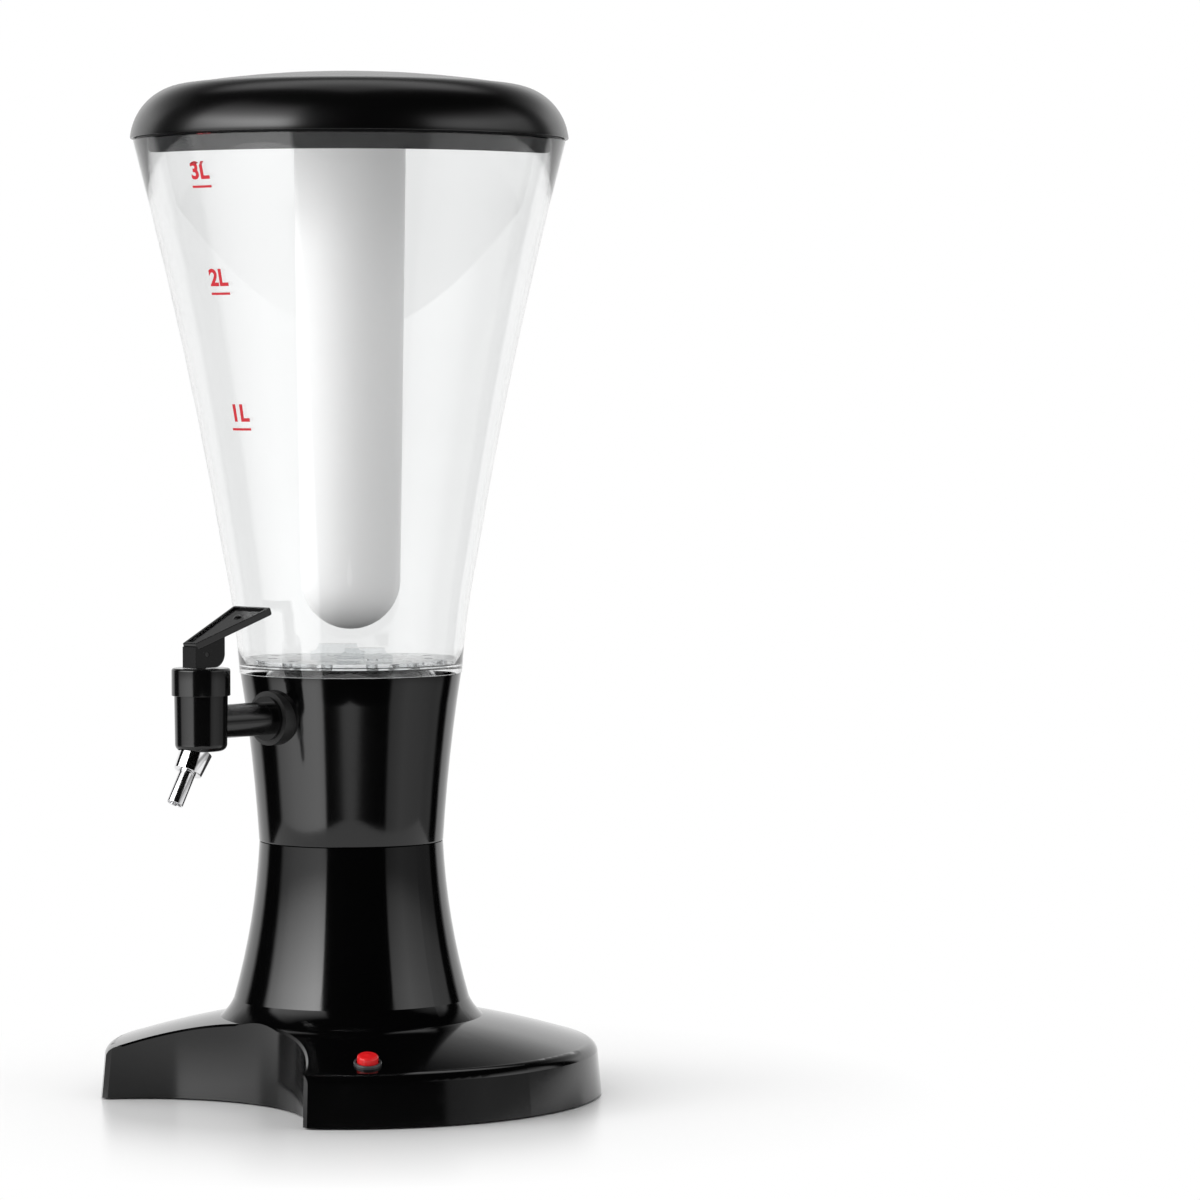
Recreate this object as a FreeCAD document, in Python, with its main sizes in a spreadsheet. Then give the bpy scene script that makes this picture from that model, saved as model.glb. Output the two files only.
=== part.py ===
import FreeCAD, Part
import math
import os
import Sketcher

# Beer tower dispenser: clear three litre vessel with an ice tube, a black column
# and base with a glass recess, a side tap with a lever, and a battery light.
# Millimetres, +Z up, origin on the tower's axis where its feet stand.
# The tap points along -Y.

os.makedirs("parts", exist_ok=True)
doc = FreeCAD.newDocument("beer_tower")
sheet = doc.addObject("Spreadsheet::Sheet", "Sizes")


class Size:
    """A length or an angle: its present value, and the expression that gives it."""

    def __init__(self, value, text):
        self.value = value
        self.text = text

    def __add__(self, other):
        return join(self, other, "+", lambda a, b: a + b)

    def __radd__(self, other):
        return join(other, self, "+", lambda a, b: a + b)

    def __sub__(self, other):
        return join(self, other, "-", lambda a, b: a - b)

    def __rsub__(self, other):
        return join(other, self, "-", lambda a, b: a - b)

    def __mul__(self, other):
        return join(self, other, "*", lambda a, b: a * b)

    def __rmul__(self, other):
        return join(other, self, "*", lambda a, b: a * b)

    def __truediv__(self, other):
        return join(self, other, "/", lambda a, b: a / b)

    def __rtruediv__(self, other):
        return join(other, self, "/", lambda a, b: a / b)

    def __neg__(self):
        return Size(-self.value, "(-1 * " + self.text + ")")


def size(value):
    """Any number as a Size."""
    if isinstance(value, Size):
        return value
    return Size(value, "(" + repr(value) + ")")


def join(a, b, sign, work):
    a, b = size(a), size(b)
    return Size(work(a.value, b.value), "(" + a.text + " " + sign + " " + b.text + ")")


def sine(angle):
    return Size(math.sin(math.radians(angle.value)), "sin(" + angle.text + ")")


def cosine(angle):
    return Size(math.cos(math.radians(angle.value)), "cos(" + angle.text + ")")


def tangent(angle):
    return Size(math.tan(math.radians(angle.value)), "tan(" + angle.text + ")")


# Base: outline of the moulding
foot_stand = 0.8
base_radius = 114.0
rim_draft = 1.8
rim_height = 20.0
shoulder_width = 4.8
shoulder_rise = 4.2
shoulder_swell = 0.92
deck_rise = 11.9
deck_swell = 0.67
root_width = 6.1
root_rise = 8.1
root_hollow = 0.54
stalk_flare = 11.8
stalk_rise = 71.6
stalk_hollow = 2.06
neck_radius = 41.8
shell_wall = 2.6
notch_beyond_base = 23.0
notch_into_root = 1.3
notch_corner = 2.2
notch_edge = 0.9
lead_hole = 10.0
neck_screw_ring = 20.0

# Clearances, and how far a tool runs past what it cuts or a boss is let in
seat_gap = 0.3
running_gap = 0.08
overcut = 1.0

# Column above the base
seam_step = 0.1
body_height = 76.6
body_flare = 8.3
body_hollow = 0.9
body_wall = 3.0
body_floor = 3.0
boss_height = 6.0

# Clear vessel
foot_step = 0.4
waist_flare = 7.2
waist_rise = 49.0
waist_hollow = 0.8
mouth_flare = 40.1
mouth_rise = 187.4
mouth_hollow = 2.12
vessel_wall = 2.2
flange_height = 4.6
flange_draft = 0.3
sump_step = 2.1
sump_depth = 40.4
sump_wall = 2.4
pad_depth = 2.4
pad_radius = 13.0
pad_boss = 3.0

# Outlet guard on the vessel's floor
guard_lap = 3.0
guard_thickness = 2.4
guard_hole = 5.0
guard_holes = 12
guard_hole_inset = 5.0
grip_length = 25.0
grip_width = 8.0
grip_height = 6.6
grip_round = 3.6
grip_reach = 20.0
grip_turn = 46.0
grip_bearing = 64.0

# Lid with its liner and the ice tube
lid_overhang = 1.3
lid_rim_gap = 0.8
lid_side_width = 25.45
lid_side_rise = 24.4
lid_side_swell = 6.75
lid_inner_swell = 5.0
dome_rise = 5.8
lid_wall = 2.4
liner_margin = 2.7
liner_depth = 7.4
liner_wall = 2.0
liner_flange = 2.2
liner_collar = 10.0
tube_radius = 25.4
tube_tip_radius = 22.6
tube_clear = 15.5
tube_wall = 1.8
tube_flange = 3.6
tube_flange_thickness = 4.0

# Tap
tap_length = 41.8
barrel_radius = 11.85
barrel_rise = 12.2
barrel_drop = 12.4
barrel_round = 3.2
barrel_draft = 0.3
barrel_bore = 8.0
seat_drop = 5.4
port_radius = 3.4
port_depth = 3.6
shank_drop = 18.4
shank_radius = 7.5
shank_bore = 4.4
shank_inside = 15.0
shank_flange = 2.4
shank_flange_thickness = 1.6
washer_inset = 0.8
saddle_depth = 5.0
washer_radius = 12.2
washer_thickness = 2.6
nut_radius = 12.6
nut_thickness = 6.0
cap_radius = 13.0
cap_height = 12.2
cap_plug = 3.0
cap_round = 1.2
stem_radius = 2.2
plunger_radius = 6.2
plunger_thickness = 1.8
seal_thickness = 2.0
spring_wire = 0.9
spring_radius = 5.0
spring_turns = 4
nozzle_tilt = 29.5
pivot_drop = 7.0
nozzle_radius = 3.7
nozzle_bore = 2.9
nozzle_length = 32.0
tube_start = 4.0
collar_start = 6.0
collar_length = 10.6
collar_top_radius = 7.4
collar_tip_radius = 6.4

# Lever and its pin
pin_rise = 6.0
pin_radius = 1.1
pin_inset = 0.2
riser_width = 8.5
riser_front = 7.0
riser_back = 10.45
cam_radius = 6.0
cam_gap = 0.12
riser_rise = 11.0
stem_slack = 0.25
slot_front = 3.7
slot_back = 7.2
stem_over_pin = 2.4
paddle_tilt = 21.4
paddle_length = 41.0
paddle_width = 24.6
paddle_neck = 8.3
paddle_thickness = 3.4
paddle_dish = 0.9
paddle_border = 1.6
paddle_corner = 1.2
paddle_under_round = 0.8
paddle_lip_round = 0.4
dot_radius = 2.2
dot_rise = 0.9
dot_from_end = 10.0

# Light switch in the base
button_inset = 8.4
button_turn = 50.0
button_tilt = 16.0
button_radius = 4.7
button_rise = 4.4
bezel_radius = 6.2
bezel_rise = 1.4
switch_radius = 5.6
switch_depth = 11.0
switch_floor = 4.0
button_travel = 1.5
button_round = 1.2
button_dome = 0.5
bezel_round = 0.6
bezel_skirt = 1.0

# Underside: plate, battery tray and feet
plate_bottom = 1.6
plate_thickness = 2.2
plate_gap = 0.7
tray_length = 60.0
tray_width = 50.0
tray_inset = 52.0
tray_drop = 2.4
tray_wall = 1.8
door_rib_length = 18.0
door_rib_width = 1.2
door_rib_depth = 0.6
door_rib_pitch = 2.6
door_rib_edge = 5.0
cell_radius = 7.1
cell_length = 49.2
cell_tip = 2.6
cell_tip_height = 1.0
cell_pitch = 14.8
cell_rest = 0.4
contact_thickness = 0.5
contact_width = 10.0
contact_height = 10.6
contact_rise = 1.0
foot_radius = 7.0
foot_inset = 18.0
post_inset = 16.0
post_radius = 4.5
screw_radius = 1.5
screw_head = 2.9
sink_gap = 0.1
screw_length = 9.0
screw_head_height = 1.3

# Light board under the sump
board_radius = 30.0
board_drop = 11.0
board_thickness = 1.6
board_post_ring = 24.0
board_post = 3.2
board_lead_hole = 3.0
board_screw_length = 7.0
lamp_radius = 2.5
lamp_flange = 0.4
lamp_flange_height = 1.0
lamp_ring = 14.0
lamp_height = 6.4
lamp_count = 6

# Every size above gets a row and an alias in the sheet, and stands for its alias below
typed = {name: value for name, value in globals().items() if type(value) in (int, float)}
for row, (name, value) in enumerate(typed.items(), 1):
    sheet.set("A%d" % row, name)
    sheet.set("B%d" % row, repr(value))
    sheet.setAlias("B%d" % row, name)
    globals()[name] = Size(value, "Sizes." + name)
doc.recompute()

# Radii and heights that follow, from the base upward
rim_radius = base_radius - rim_draft
shoulder_radius = rim_radius - shoulder_width
shoulder_height = rim_height + shoulder_rise
stalk_radius = neck_radius + stalk_flare
root_radius = stalk_radius + root_width
root_height = shoulder_height + deck_rise
stalk_height = root_height + root_rise
seam_height = stalk_height + stalk_rise
notch_reach = base_radius + notch_beyond_base
notch_radius = notch_reach - root_radius + notch_into_root
button_ring = shoulder_radius - button_inset
foot_ring = base_radius - foot_inset
post_ring = base_radius - post_inset
tray_middle = base_radius - tray_inset
tray_height = rim_height - tray_drop
body_bottom = neck_radius + seam_step
body_radius = body_bottom + body_flare
body_top = seam_height + body_height
floor_height = body_top + flange_height
vessel_foot = body_radius + foot_step
vessel_waist = vessel_foot + waist_flare
vessel_mouth = vessel_waist + mouth_flare
waist_height = floor_height + waist_rise
mouth_height = waist_height + mouth_rise
sump_radius = body_bottom - body_wall + sump_step
sump_bottom = body_top - sump_depth
pad_plane = sump_radius + pad_depth
guard_radius = sump_radius + guard_lap
guard_hole_ring = sump_radius - guard_hole_inset
board_height = sump_bottom - board_drop
lid_radius = vessel_mouth + lid_overhang
lid_rim = mouth_height + lid_rim_gap
lid_shoulder = lid_radius - lid_side_width
lid_shoulder_height = lid_rim + lid_side_rise
lid_top = lid_shoulder_height + dome_rise
liner_radius = vessel_mouth - vessel_wall - liner_margin
liner_bottom = mouth_height - liner_depth
tube_bottom = floor_height + tube_clear
tap_reach = body_radius + tap_length
washer_face = body_radius - washer_inset
shank_height = body_top - shank_drop
shank_end = sump_radius - shank_inside
barrel_top = shank_height + barrel_rise
barrel_bottom = shank_height - barrel_drop
valve_seat = shank_height - seat_drop
nozzle_pivot = shank_height - pivot_drop


def tie(thing, prop, amount):
    """Bind one property of an object to the sheet."""
    thing.setExpression(prop, size(amount).text)


def place(thing, x=0, y=0, z=0):
    for axis, amount in (("x", x), ("y", y), ("z", z)):
        if isinstance(amount, Size) or amount:
            tie(thing, "Placement.Base." + axis, amount)
    return thing


def swing(thing, axis, angle):
    """Turn an object about an axis through its own origin."""
    thing.Placement = FreeCAD.Placement(
        thing.Placement.Base, FreeCAD.Rotation(FreeCAD.Vector(*axis), size(angle).value)
    )
    tie(thing, "Placement.Rotation.Angle", angle)
    return thing


def cylinder(name, radius, height, x=0, y=0, z=0, turn=None):
    rod = doc.addObject("Part::Cylinder", name)
    tie(rod, "Radius", radius)
    tie(rod, "Height", height)
    if turn:
        swing(rod, *turn)
    return place(rod, x, y, z)


def block(name, length, width, height, x=0, y=0, z=0):
    """A box centred in X and Y, standing on z."""
    box = doc.addObject("Part::Box", name)
    tie(box, "Length", length)
    tie(box, "Width", width)
    tie(box, "Height", height)
    return place(box, size(x) - size(length) / 2, size(y) - size(width) / 2, z)


def cut(name, whole, *tools):
    for number, tool in enumerate(tools, 1):
        step = doc.addObject("Part::Cut", name if number == len(tools) else name + "_step")
        step.Base, step.Tool = whole, tool
        whole = step
    return whole


def fuse(name, *things):
    step = doc.addObject("Part::MultiFuse", name)
    step.Shapes = list(things)
    return step


def group(name, things):
    """Like pieces that share a node, each its own solid."""
    step = doc.addObject("Part::Compound", name)
    step.Links = list(things)
    return step


def crown(half_width, rise):
    """Radius of a dome that meets its axis square on."""
    return (half_width * half_width + rise * rise) / (rise * 2)


class Swell:
    """A side that swells by a rise, left of its way, or right of it if negative."""

    def __init__(self, rise):
        self.rise = rise

    def radius(self, start, end):
        along, up = size(end[0]) - start[0], size(end[1]) - start[1]
        return (along * along + up * up) / (self.rise * 8) + self.rise / 2


def arc_between(start, end, radius):
    """An arc whose bulge lies left of the way from start to end, or right if negative."""
    chord = end - start
    left = FreeCAD.Vector(-chord.y, chord.x, 0).normalize()
    drop = math.sqrt(radius * radius - chord.Length * chord.Length / 4)
    middle = (start + end) / 2 - left * math.copysign(drop, radius)
    first, last = (end, start) if radius > 0 else (start, end)
    turns = [math.atan2(p.y - middle.y, p.x - middle.x) for p in (first, last)]
    circle = Part.Circle(middle, FreeCAD.Vector(0, 0, 1), abs(radius))
    return Part.ArcOfCircle(circle, turns[0], turns[1] + (2 * math.pi if turns[1] < turns[0] else 0))


def outline(sketch, steps):
    """A closed outline, its corners and its arcs' radii tied to the sheet.

    A step is (x, y) for a straight side to that corner, or (x, y, radius) or
    (x, y, Swell) for an arc.
    """
    steps = [
        (s[0], s[1], s[2].radius(steps[n - 1], s)) if isinstance(s[-1], Swell) else s
        for n, s in enumerate(steps)
    ]
    corners = [FreeCAD.Vector(size(s[0]).value, size(s[1]).value, 0) for s in steps]
    sides = []
    for number, step in enumerate(steps):
        start, end = corners[number - 1], corners[number]
        if len(step) == 3:
            side = sketch.addGeometry(arc_between(start, end, size(step[2]).value), False)
        else:
            side = sketch.addGeometry(Part.LineSegment(start, end), False)
        sides.append(side)
    for number, step in enumerate(steps):
        side, after = sides[number], sides[(number + 1) % len(steps)]
        end = 2 if is_forward(sketch.Geometry[side], corners[number]) else 1
        begin = 1 if is_forward(sketch.Geometry[after], corners[(number + 1) % len(steps)]) else 2
        sketch.addConstraint(Sketcher.Constraint("Coincident", side, end, after, begin))
        for kind, amount in (("DistanceX", step[0]), ("DistanceY", step[1])):
            rule = sketch.addConstraint(
                Sketcher.Constraint(kind, -1, 1, side, end, size(amount).value)
            )
            if isinstance(amount, Size):
                sketch.setExpression("Constraints[%d]" % rule, amount.text)
        if len(step) == 3:
            reach = size(step[2])
            rule = sketch.addConstraint(Sketcher.Constraint("Radius", side, abs(reach.value)))
            sign = "" if reach.value > 0 else "-1 * "
            sketch.setExpression("Constraints[%d]" % rule, sign + reach.text)


def is_forward(side, corner):
    """Whether a side of a sketch ends at the corner, as an arc may run either way."""
    return (side.EndPoint - corner).Length < (side.StartPoint - corner).Length


def plane_of(owner, role):
    return [plane for plane in owner.Origin.OriginFeatures if plane.Role == role][0]


def sketch_on(owner, name, role, lift=0):
    sketch = owner.newObject("Sketcher::SketchObject", name)
    sketch.AttachmentSupport = (plane_of(owner, role), [""])
    sketch.MapMode = "FlatFace"
    if isinstance(lift, Size) or lift:
        tie(sketch, "AttachmentOffset.Base.z", lift)
    return sketch


def turned(name, steps, role="XZ_Plane", axis="V_Axis"):
    """A body turned about its axis from half its section."""
    owner = doc.addObject("PartDesign::Body", name)
    sketch = sketch_on(owner, name + "_section", role)
    outline(sketch, steps)
    turn = owner.newObject("PartDesign::Revolution", name + "_turn")
    turn.Profile = sketch
    turn.ReferenceAxis = (sketch, [axis])
    turn.Angle = 360
    return owner


def padded(name, steps, depth, role="XY_Plane", lift=0, midplane=False):
    """A body pulled straight out of one closed outline."""
    owner = doc.addObject("PartDesign::Body", name)
    sketch = sketch_on(owner, name + "_outline", role, lift)
    outline(sketch, steps)
    pad = owner.newObject("PartDesign::Pad", name + "_pad")
    pad.Profile = sketch
    tie(pad, "Length", depth)
    pad.Midplane = midplane
    return owner


def bevelled(owner, name, kind, amount, chosen):
    """Fillet or Chamfer on the edges of a body that the test picks."""
    doc.recompute()
    tip = owner.Tip
    edges = ["Edge%d" % (n + 1) for n, edge in enumerate(tip.Shape.Edges) if chosen(edge)]
    if not edges:
        raise ValueError("no edge to finish on " + name)
    finish = owner.newObject("PartDesign::" + kind, name)
    finish.Base = (tip, edges)
    tie(finish, "Radius" if kind == "Fillet" else "Size", amount)
    return owner


def bearing(angle, ring):
    """Point on a ring, its angle counted from the tap's side (-Y) towards +X."""
    return size(ring) * sine(size(angle)), -(size(ring) * cosine(size(angle)))


pieces = []


def piece(thing):
    thing.Label = thing.Name
    pieces.append(thing)
    return thing


# Base shell: a flared moulding with a round recess for the glass
def base_section(inset, low, top):
    """Half section of the base, each corner drawn in and down by its mitre."""
    return [
        (0, low),
        (base_radius - inset, low),
        (rim_radius - inset, rim_height - inset * 0.4),
        (shoulder_radius - inset * 0.8, shoulder_height - inset, Swell(-shoulder_swell)),
        (root_radius - inset * 0.6, root_height - inset, Swell(-deck_swell)),
        (stalk_radius - inset, stalk_height - inset * 0.5, Swell(root_hollow)),
        (neck_radius - inset, top, Swell(stalk_hollow)),
        (0, top),
    ]


def notch_tool(name, grow):
    return cylinder(name, notch_radius + grow, seam_height, 0, -notch_reach, -overcut)


base_form = turned("base_form", base_section(size(0), foot_stand, seam_height))
doc.recompute()
recess_sketch = sketch_on(base_form, "recess_outline", "XY_Plane")
ring = recess_sketch.addGeometry(
    Part.Circle(FreeCAD.Vector(0, -notch_reach.value, 0), FreeCAD.Vector(0, 0, 1), notch_radius.value)
)
recess_sketch.addConstraint(Sketcher.Constraint("DistanceX", -1, 1, ring, 3, 0.0))
row = recess_sketch.addConstraint(Sketcher.Constraint("DistanceY", -1, 1, ring, 3, -notch_reach.value))
recess_sketch.setExpression("Constraints[%d]" % row, (-notch_reach).text)
row = recess_sketch.addConstraint(Sketcher.Constraint("Radius", ring, notch_radius.value))
recess_sketch.setExpression("Constraints[%d]" % row, notch_radius.text)
recess = base_form.newObject("PartDesign::Pocket", "recess")
recess.Profile = recess_sketch
recess.Reversed = True
tie(recess, "Length", seam_height)


def on_recess(edge):
    """Edges of the recess wall, by their distance from its axis."""
    points = [edge.valueAt(edge.FirstParameter + k * (edge.LastParameter - edge.FirstParameter) / 4)
              for k in range(5)]
    reach = [math.hypot(p.x, p.y + notch_reach.value) for p in points]
    return max(abs(r - notch_radius.value) for r in reach) < 0.01


def recess_corner(edge):
    box = edge.BoundBox
    return on_recess(edge) and box.ZLength > rim_height.value / 2 > box.XLength


def recess_rim(edge):
    box = edge.BoundBox
    return on_recess(edge) and box.XLength > notch_radius.value / 2 and box.ZMax > rim_height.value


bevelled(base_form, "recess_corners", "Chamfer", notch_corner, recess_corner)
bevelled(base_form, "recess_rim", "Chamfer", notch_edge, recess_rim)

base_void = turned("base_void", base_section(shell_wall, foot_stand - overcut,
                                             seam_height - shell_wall))
base_hollow = cut("base_hollow", base_void, notch_tool("recess_skin", shell_wall))
deck_share = button_inset / (shoulder_radius - root_radius)
deck_at_button = shoulder_height + deck_share * deck_rise + deck_swell * 4 * deck_share * (1 - deck_share)


def on_switch(thing, along):
    """Stand an upright thing on the switch's axis, square to the sloping deck."""
    turn = FreeCAD.Rotation(FreeCAD.Vector(0, 0, 1), button_turn.value)
    lean = FreeCAD.Rotation(FreeCAD.Vector(1, 0, 0), button_tilt.value)
    thing.Placement = FreeCAD.Placement(FreeCAD.Vector(), turn.multiply(lean))
    x, y = bearing(button_turn, button_ring + sine(button_tilt) * along)
    return place(thing, x, y, deck_at_button + cosine(button_tilt) * along)


def post(name, angle, ring, radius, low, high):
    x, y = bearing(angle, ring)
    return cylinder(name, radius, size(high) - low, x, y, low)


plate_top = plate_bottom + plate_thickness
post_angles = (90, 180, 270)
base_posts = [
    post("base_post_%d" % angle, size(angle), post_ring, post_radius, plate_top, shoulder_height)
    for angle in post_angles
]
deck_bore = cylinder("deck_bore", lead_hole, body_floor * 4, 0, 0, seam_height - body_floor * 2)
button_bore = on_switch(cylinder("button_bore", switch_radius + seat_gap, switch_depth * 2),
                        -(switch_depth + overcut))
neck_screw_angles = (60, 180, 300)
neck_holes = [
    post("neck_hole_%d" % a, size(a), neck_screw_ring, screw_radius + seat_gap,
         seam_height - body_floor * 2, seam_height + body_floor)
    for a in neck_screw_angles
]
post_holes = [
    post("post_hole_%d" % a, size(a), post_ring, screw_radius, size(0),
         plate_bottom + screw_head_height + screw_length + overcut)
    for a in post_angles
]
base_walls = cut("base_walls", base_form, base_hollow)
piece(cut("base_shell", fuse("base_moulding", base_walls, *base_posts),
          deck_bore, button_bore, *(neck_holes + post_holes)))

# Column shell: an inward curve over a floor that the base's screws hold
body_outer = turned("column_form", [
    (0, seam_height),
    (body_bottom, seam_height),
    (body_radius, body_top, Swell(body_hollow)),
    (0, body_top),
])
body_inner = turned("column_void", [
    (0, seam_height + body_floor),
    (body_bottom - body_wall, seam_height + body_floor),
    (body_radius - body_wall, body_top + overcut, Swell(body_hollow)),
    (0, body_top + overcut),
])
column_pad = cylinder("column_pad", pad_radius, body_radius - pad_plane, 0, -pad_plane, shank_height,
                      ((1, 0, 0), 90))
column_pad = doc.addObject("Part::Common", "column_pad_fit")
column_pad.Base = doc.getObject("column_pad")
column_pad.Tool = body_outer
shank_way = cylinder("shank_way", shank_radius + seat_gap, body_radius, 0, 0, shank_height,
                     ((1, 0, 0), 90))
pad_pocket = cylinder("pad_pocket", pad_radius + seat_gap, pad_plane, 0, 0, shank_height,
                      ((1, 0, 0), 90))
board_angles = (0, 120, 240)
board_posts = [
    post("board_post_%d" % a, size(a), board_post_ring, board_post,
         seam_height + overcut, board_height)
    for a in board_angles
]
column_walls = cut("column_walls", body_outer, body_inner, pad_pocket)
column_lead_way = cylinder("column_lead_way", lead_hole, body_floor * 3, 0, 0,
                           seam_height - body_floor)
column_screw_ways = [
    post("column_screw_way_%d" % a, size(a), neck_screw_ring, screw_radius,
         seam_height - overcut, seam_height + body_floor + boss_height + overcut)
    for a in neck_screw_angles
]
board_screw_ways = [
    post("board_screw_way_%d" % a, size(a), board_post_ring, screw_radius,
         board_height - screw_length, board_height + overcut)
    for a in board_angles
]
column_bosses = [
    post("column_boss_%d" % a, size(a), neck_screw_ring, board_post,
         seam_height + overcut, seam_height + body_floor + boss_height)
    for a in neck_screw_angles
]
piece(cut("upper_body",
          fuse("column_moulding", column_walls, column_pad, *(board_posts + column_bosses)),
          shank_way, column_lead_way, *(column_screw_ways + board_screw_ways)))

# Vessel: clear flared cone, its floor flange and the sump that feeds the tap
rebate = guard_radius + seat_gap
vessel_steps = [
    (0, sump_bottom),
    (sump_radius, sump_bottom),
    (sump_radius, body_top),
    (vessel_foot, body_top),
    (vessel_foot + flange_draft, floor_height),
    (vessel_waist, waist_height, Swell(waist_hollow)),
    (vessel_mouth, mouth_height, Swell(mouth_hollow)),
    (vessel_mouth - vessel_wall, mouth_height),
    (vessel_waist - vessel_wall, waist_height, Swell(-mouth_hollow)),
    (vessel_foot + flange_draft * 2 - vessel_wall, floor_height, Swell(-waist_hollow)),
    (rebate, floor_height),
    (rebate, floor_height - guard_thickness / 2),
    (sump_radius - sump_wall, floor_height - guard_thickness / 2),
    (sump_radius - sump_wall, sump_bottom + sump_wall),
    (0, sump_bottom + sump_wall),
]
vessel_form = turned("vessel_form", vessel_steps)
vessel_pad = cylinder("vessel_pad", pad_radius, pad_plane - sump_radius + sump_wall / 2,
                      0, -(sump_radius - sump_wall / 2), shank_height, ((1, 0, 0), 90))
vessel_pad_inside = cylinder("vessel_pad_inside", pad_radius, sump_wall + pad_boss,
                             0, -(sump_radius - sump_wall - pad_boss), shank_height,
                             ((1, 0, 0), 90))
vessel_shank_way = cylinder("vessel_shank_way", shank_radius + seat_gap, body_radius,
                            0, 0, shank_height, ((1, 0, 0), 90))
piece(cut("vessel", fuse("vessel_moulding", vessel_form, vessel_pad, vessel_pad_inside),
          vessel_shank_way))

# Outlet guard: clear strainer disc with two finger grips
guard_low = floor_height - guard_thickness / 2
guard_disc = cylinder("guard_disc", guard_radius, guard_thickness, 0, 0, guard_low)
grips = []
for number, side in enumerate((1, -1)):
    grip = padded("grip_%d" % number, [
        (-(grip_length / 2), -overcut),
        (grip_length / 2, -overcut),
        (grip_length / 2, grip_height - grip_round),
        (grip_length / 2 - grip_round, grip_height, grip_round),
        (grip_round - grip_length / 2, grip_height),
        (-(grip_length / 2), grip_height - grip_round, grip_round),
    ], grip_width, "XZ_Plane", 0, True)
    x, y = bearing(grip_bearing, grip_reach * side)
    swing(grip, (0, 0, 1), grip_turn)
    grips.append(place(grip, x, y, guard_low + guard_thickness))
strainer_ways = []
for number in range(int(guard_holes.value)):
    x, y = bearing(size(number) * 360 / guard_holes, guard_hole_ring)
    strainer_ways.append(cylinder("strainer_way_%d" % number, guard_hole / 2, guard_thickness * 3,
                                  x, y, guard_low - guard_thickness))
piece(cut("outlet_guard", fuse("guard_moulding", guard_disc, *grips), *strainer_ways))

# Lid: a domed cover over a tray shaped liner, with the ice tube hung in it
lid_inner_shoulder = lid_shoulder * (1 - lid_wall / crown(lid_shoulder, dome_rise))
piece(turned("lid_cover", [
    (0, lid_top - lid_wall, -crown(lid_inner_shoulder, dome_rise)),
    (0, lid_top),
    (lid_shoulder, lid_shoulder_height, crown(lid_shoulder, dome_rise)),
    (lid_radius, lid_rim, Swell(lid_side_swell)),
    (lid_radius - lid_wall, lid_rim),
    (lid_radius - lid_wall, mouth_height + liner_flange),
    (lid_radius - lid_wall * 2, mouth_height + liner_flange),
    (lid_inner_shoulder, lid_shoulder_height - lid_wall, Swell(-lid_inner_swell)),
]))
collar_radius = tube_radius + tube_flange + seat_gap
piece(turned("lid_liner", [
    (tube_radius + seat_gap, liner_bottom),
    (liner_radius, liner_bottom),
    (liner_radius, mouth_height),
    (lid_radius - lid_wall - seat_gap, mouth_height),
    (lid_radius - lid_wall - seat_gap, mouth_height + liner_flange),
    (liner_radius - liner_wall, mouth_height + liner_flange),
    (liner_radius - liner_wall, liner_bottom + liner_wall),
    (collar_radius + liner_wall, liner_bottom + liner_wall),
    (collar_radius + liner_wall, liner_bottom + liner_collar),
    (collar_radius, liner_bottom + liner_collar),
    (collar_radius, liner_bottom + liner_wall),
    (tube_radius + seat_gap, liner_bottom + liner_wall),
]))
tube_top = liner_bottom + liner_wall + tube_flange_thickness
piece(turned("ice_tube", [
    (0, tube_bottom),
    (tube_tip_radius, tube_bottom + tube_tip_radius, -tube_tip_radius),
    (tube_radius, liner_bottom + liner_wall),
    (tube_radius + tube_flange, liner_bottom + liner_wall),
    (tube_radius + tube_flange, tube_top),
    (tube_radius - tube_wall, tube_top),
    (tube_tip_radius - tube_wall, tube_bottom + tube_tip_radius),
    (0, tube_bottom + tube_wall, tube_tip_radius - tube_wall),
]))

# Tap body: an upright barrel with its shank through the column and the sump wall
barrel_form = turned("barrel_form", [
    (0, barrel_bottom),
    (barrel_radius - barrel_draft - barrel_round, barrel_bottom),
    (barrel_radius - barrel_draft, barrel_bottom + barrel_round, -barrel_round),
    (barrel_radius, barrel_top),
    (barrel_bore, barrel_top),
    (barrel_bore, valve_seat),
    (port_radius, valve_seat),
    (port_radius, valve_seat - port_depth),
    (0, valve_seat - port_depth),
])
place(barrel_form, 0, -tap_reach, 0)
washer_front = washer_face + washer_thickness
flange_front = washer_front + shank_flange_thickness
shank_form = turned("shank_form", [
    (-(tap_reach - barrel_bore), 0),
    (-(tap_reach - barrel_bore), shank_radius),
    (-flange_front, shank_radius),
    (-flange_front, shank_radius + shank_flange),
    (-washer_front, shank_radius + shank_flange),
    (-washer_front, shank_radius),
    (-shank_end, shank_radius),
    (-shank_end, 0),
], "YZ_Plane", "H_Axis")
place(shank_form, 0, 0, shank_height)
shank_drill = cylinder("shank_drill", shank_bore, tap_reach - shank_end, 0, overcut - shank_end,
                       shank_height, ((1, 0, 0), 90))
barrel_hollow = cylinder("barrel_hollow", barrel_bore, barrel_top - valve_seat + overcut,
                         0, -tap_reach, valve_seat)


def on_nozzle(thing, along):
    """Stand a thing on the nozzle's leaning axis, pointing down and outward."""
    swing(thing, (1, 0, 0), size(180) - nozzle_tilt)
    return place(thing, 0, -tap_reach - sine(nozzle_tilt) * along,
                 nozzle_pivot - cosine(nozzle_tilt) * along)


nozzle_socket = on_nozzle(cylinder("nozzle_socket", nozzle_radius + seat_gap,
                                   collar_start + collar_length), size(0))
collar_seat = on_nozzle(cylinder("collar_seat", collar_top_radius + seat_gap, collar_length),
                        collar_start)
piece(cut("tap_body", fuse("tap_casting", barrel_form, shank_form),
          shank_drill, barrel_hollow, nozzle_socket, collar_seat))


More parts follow.
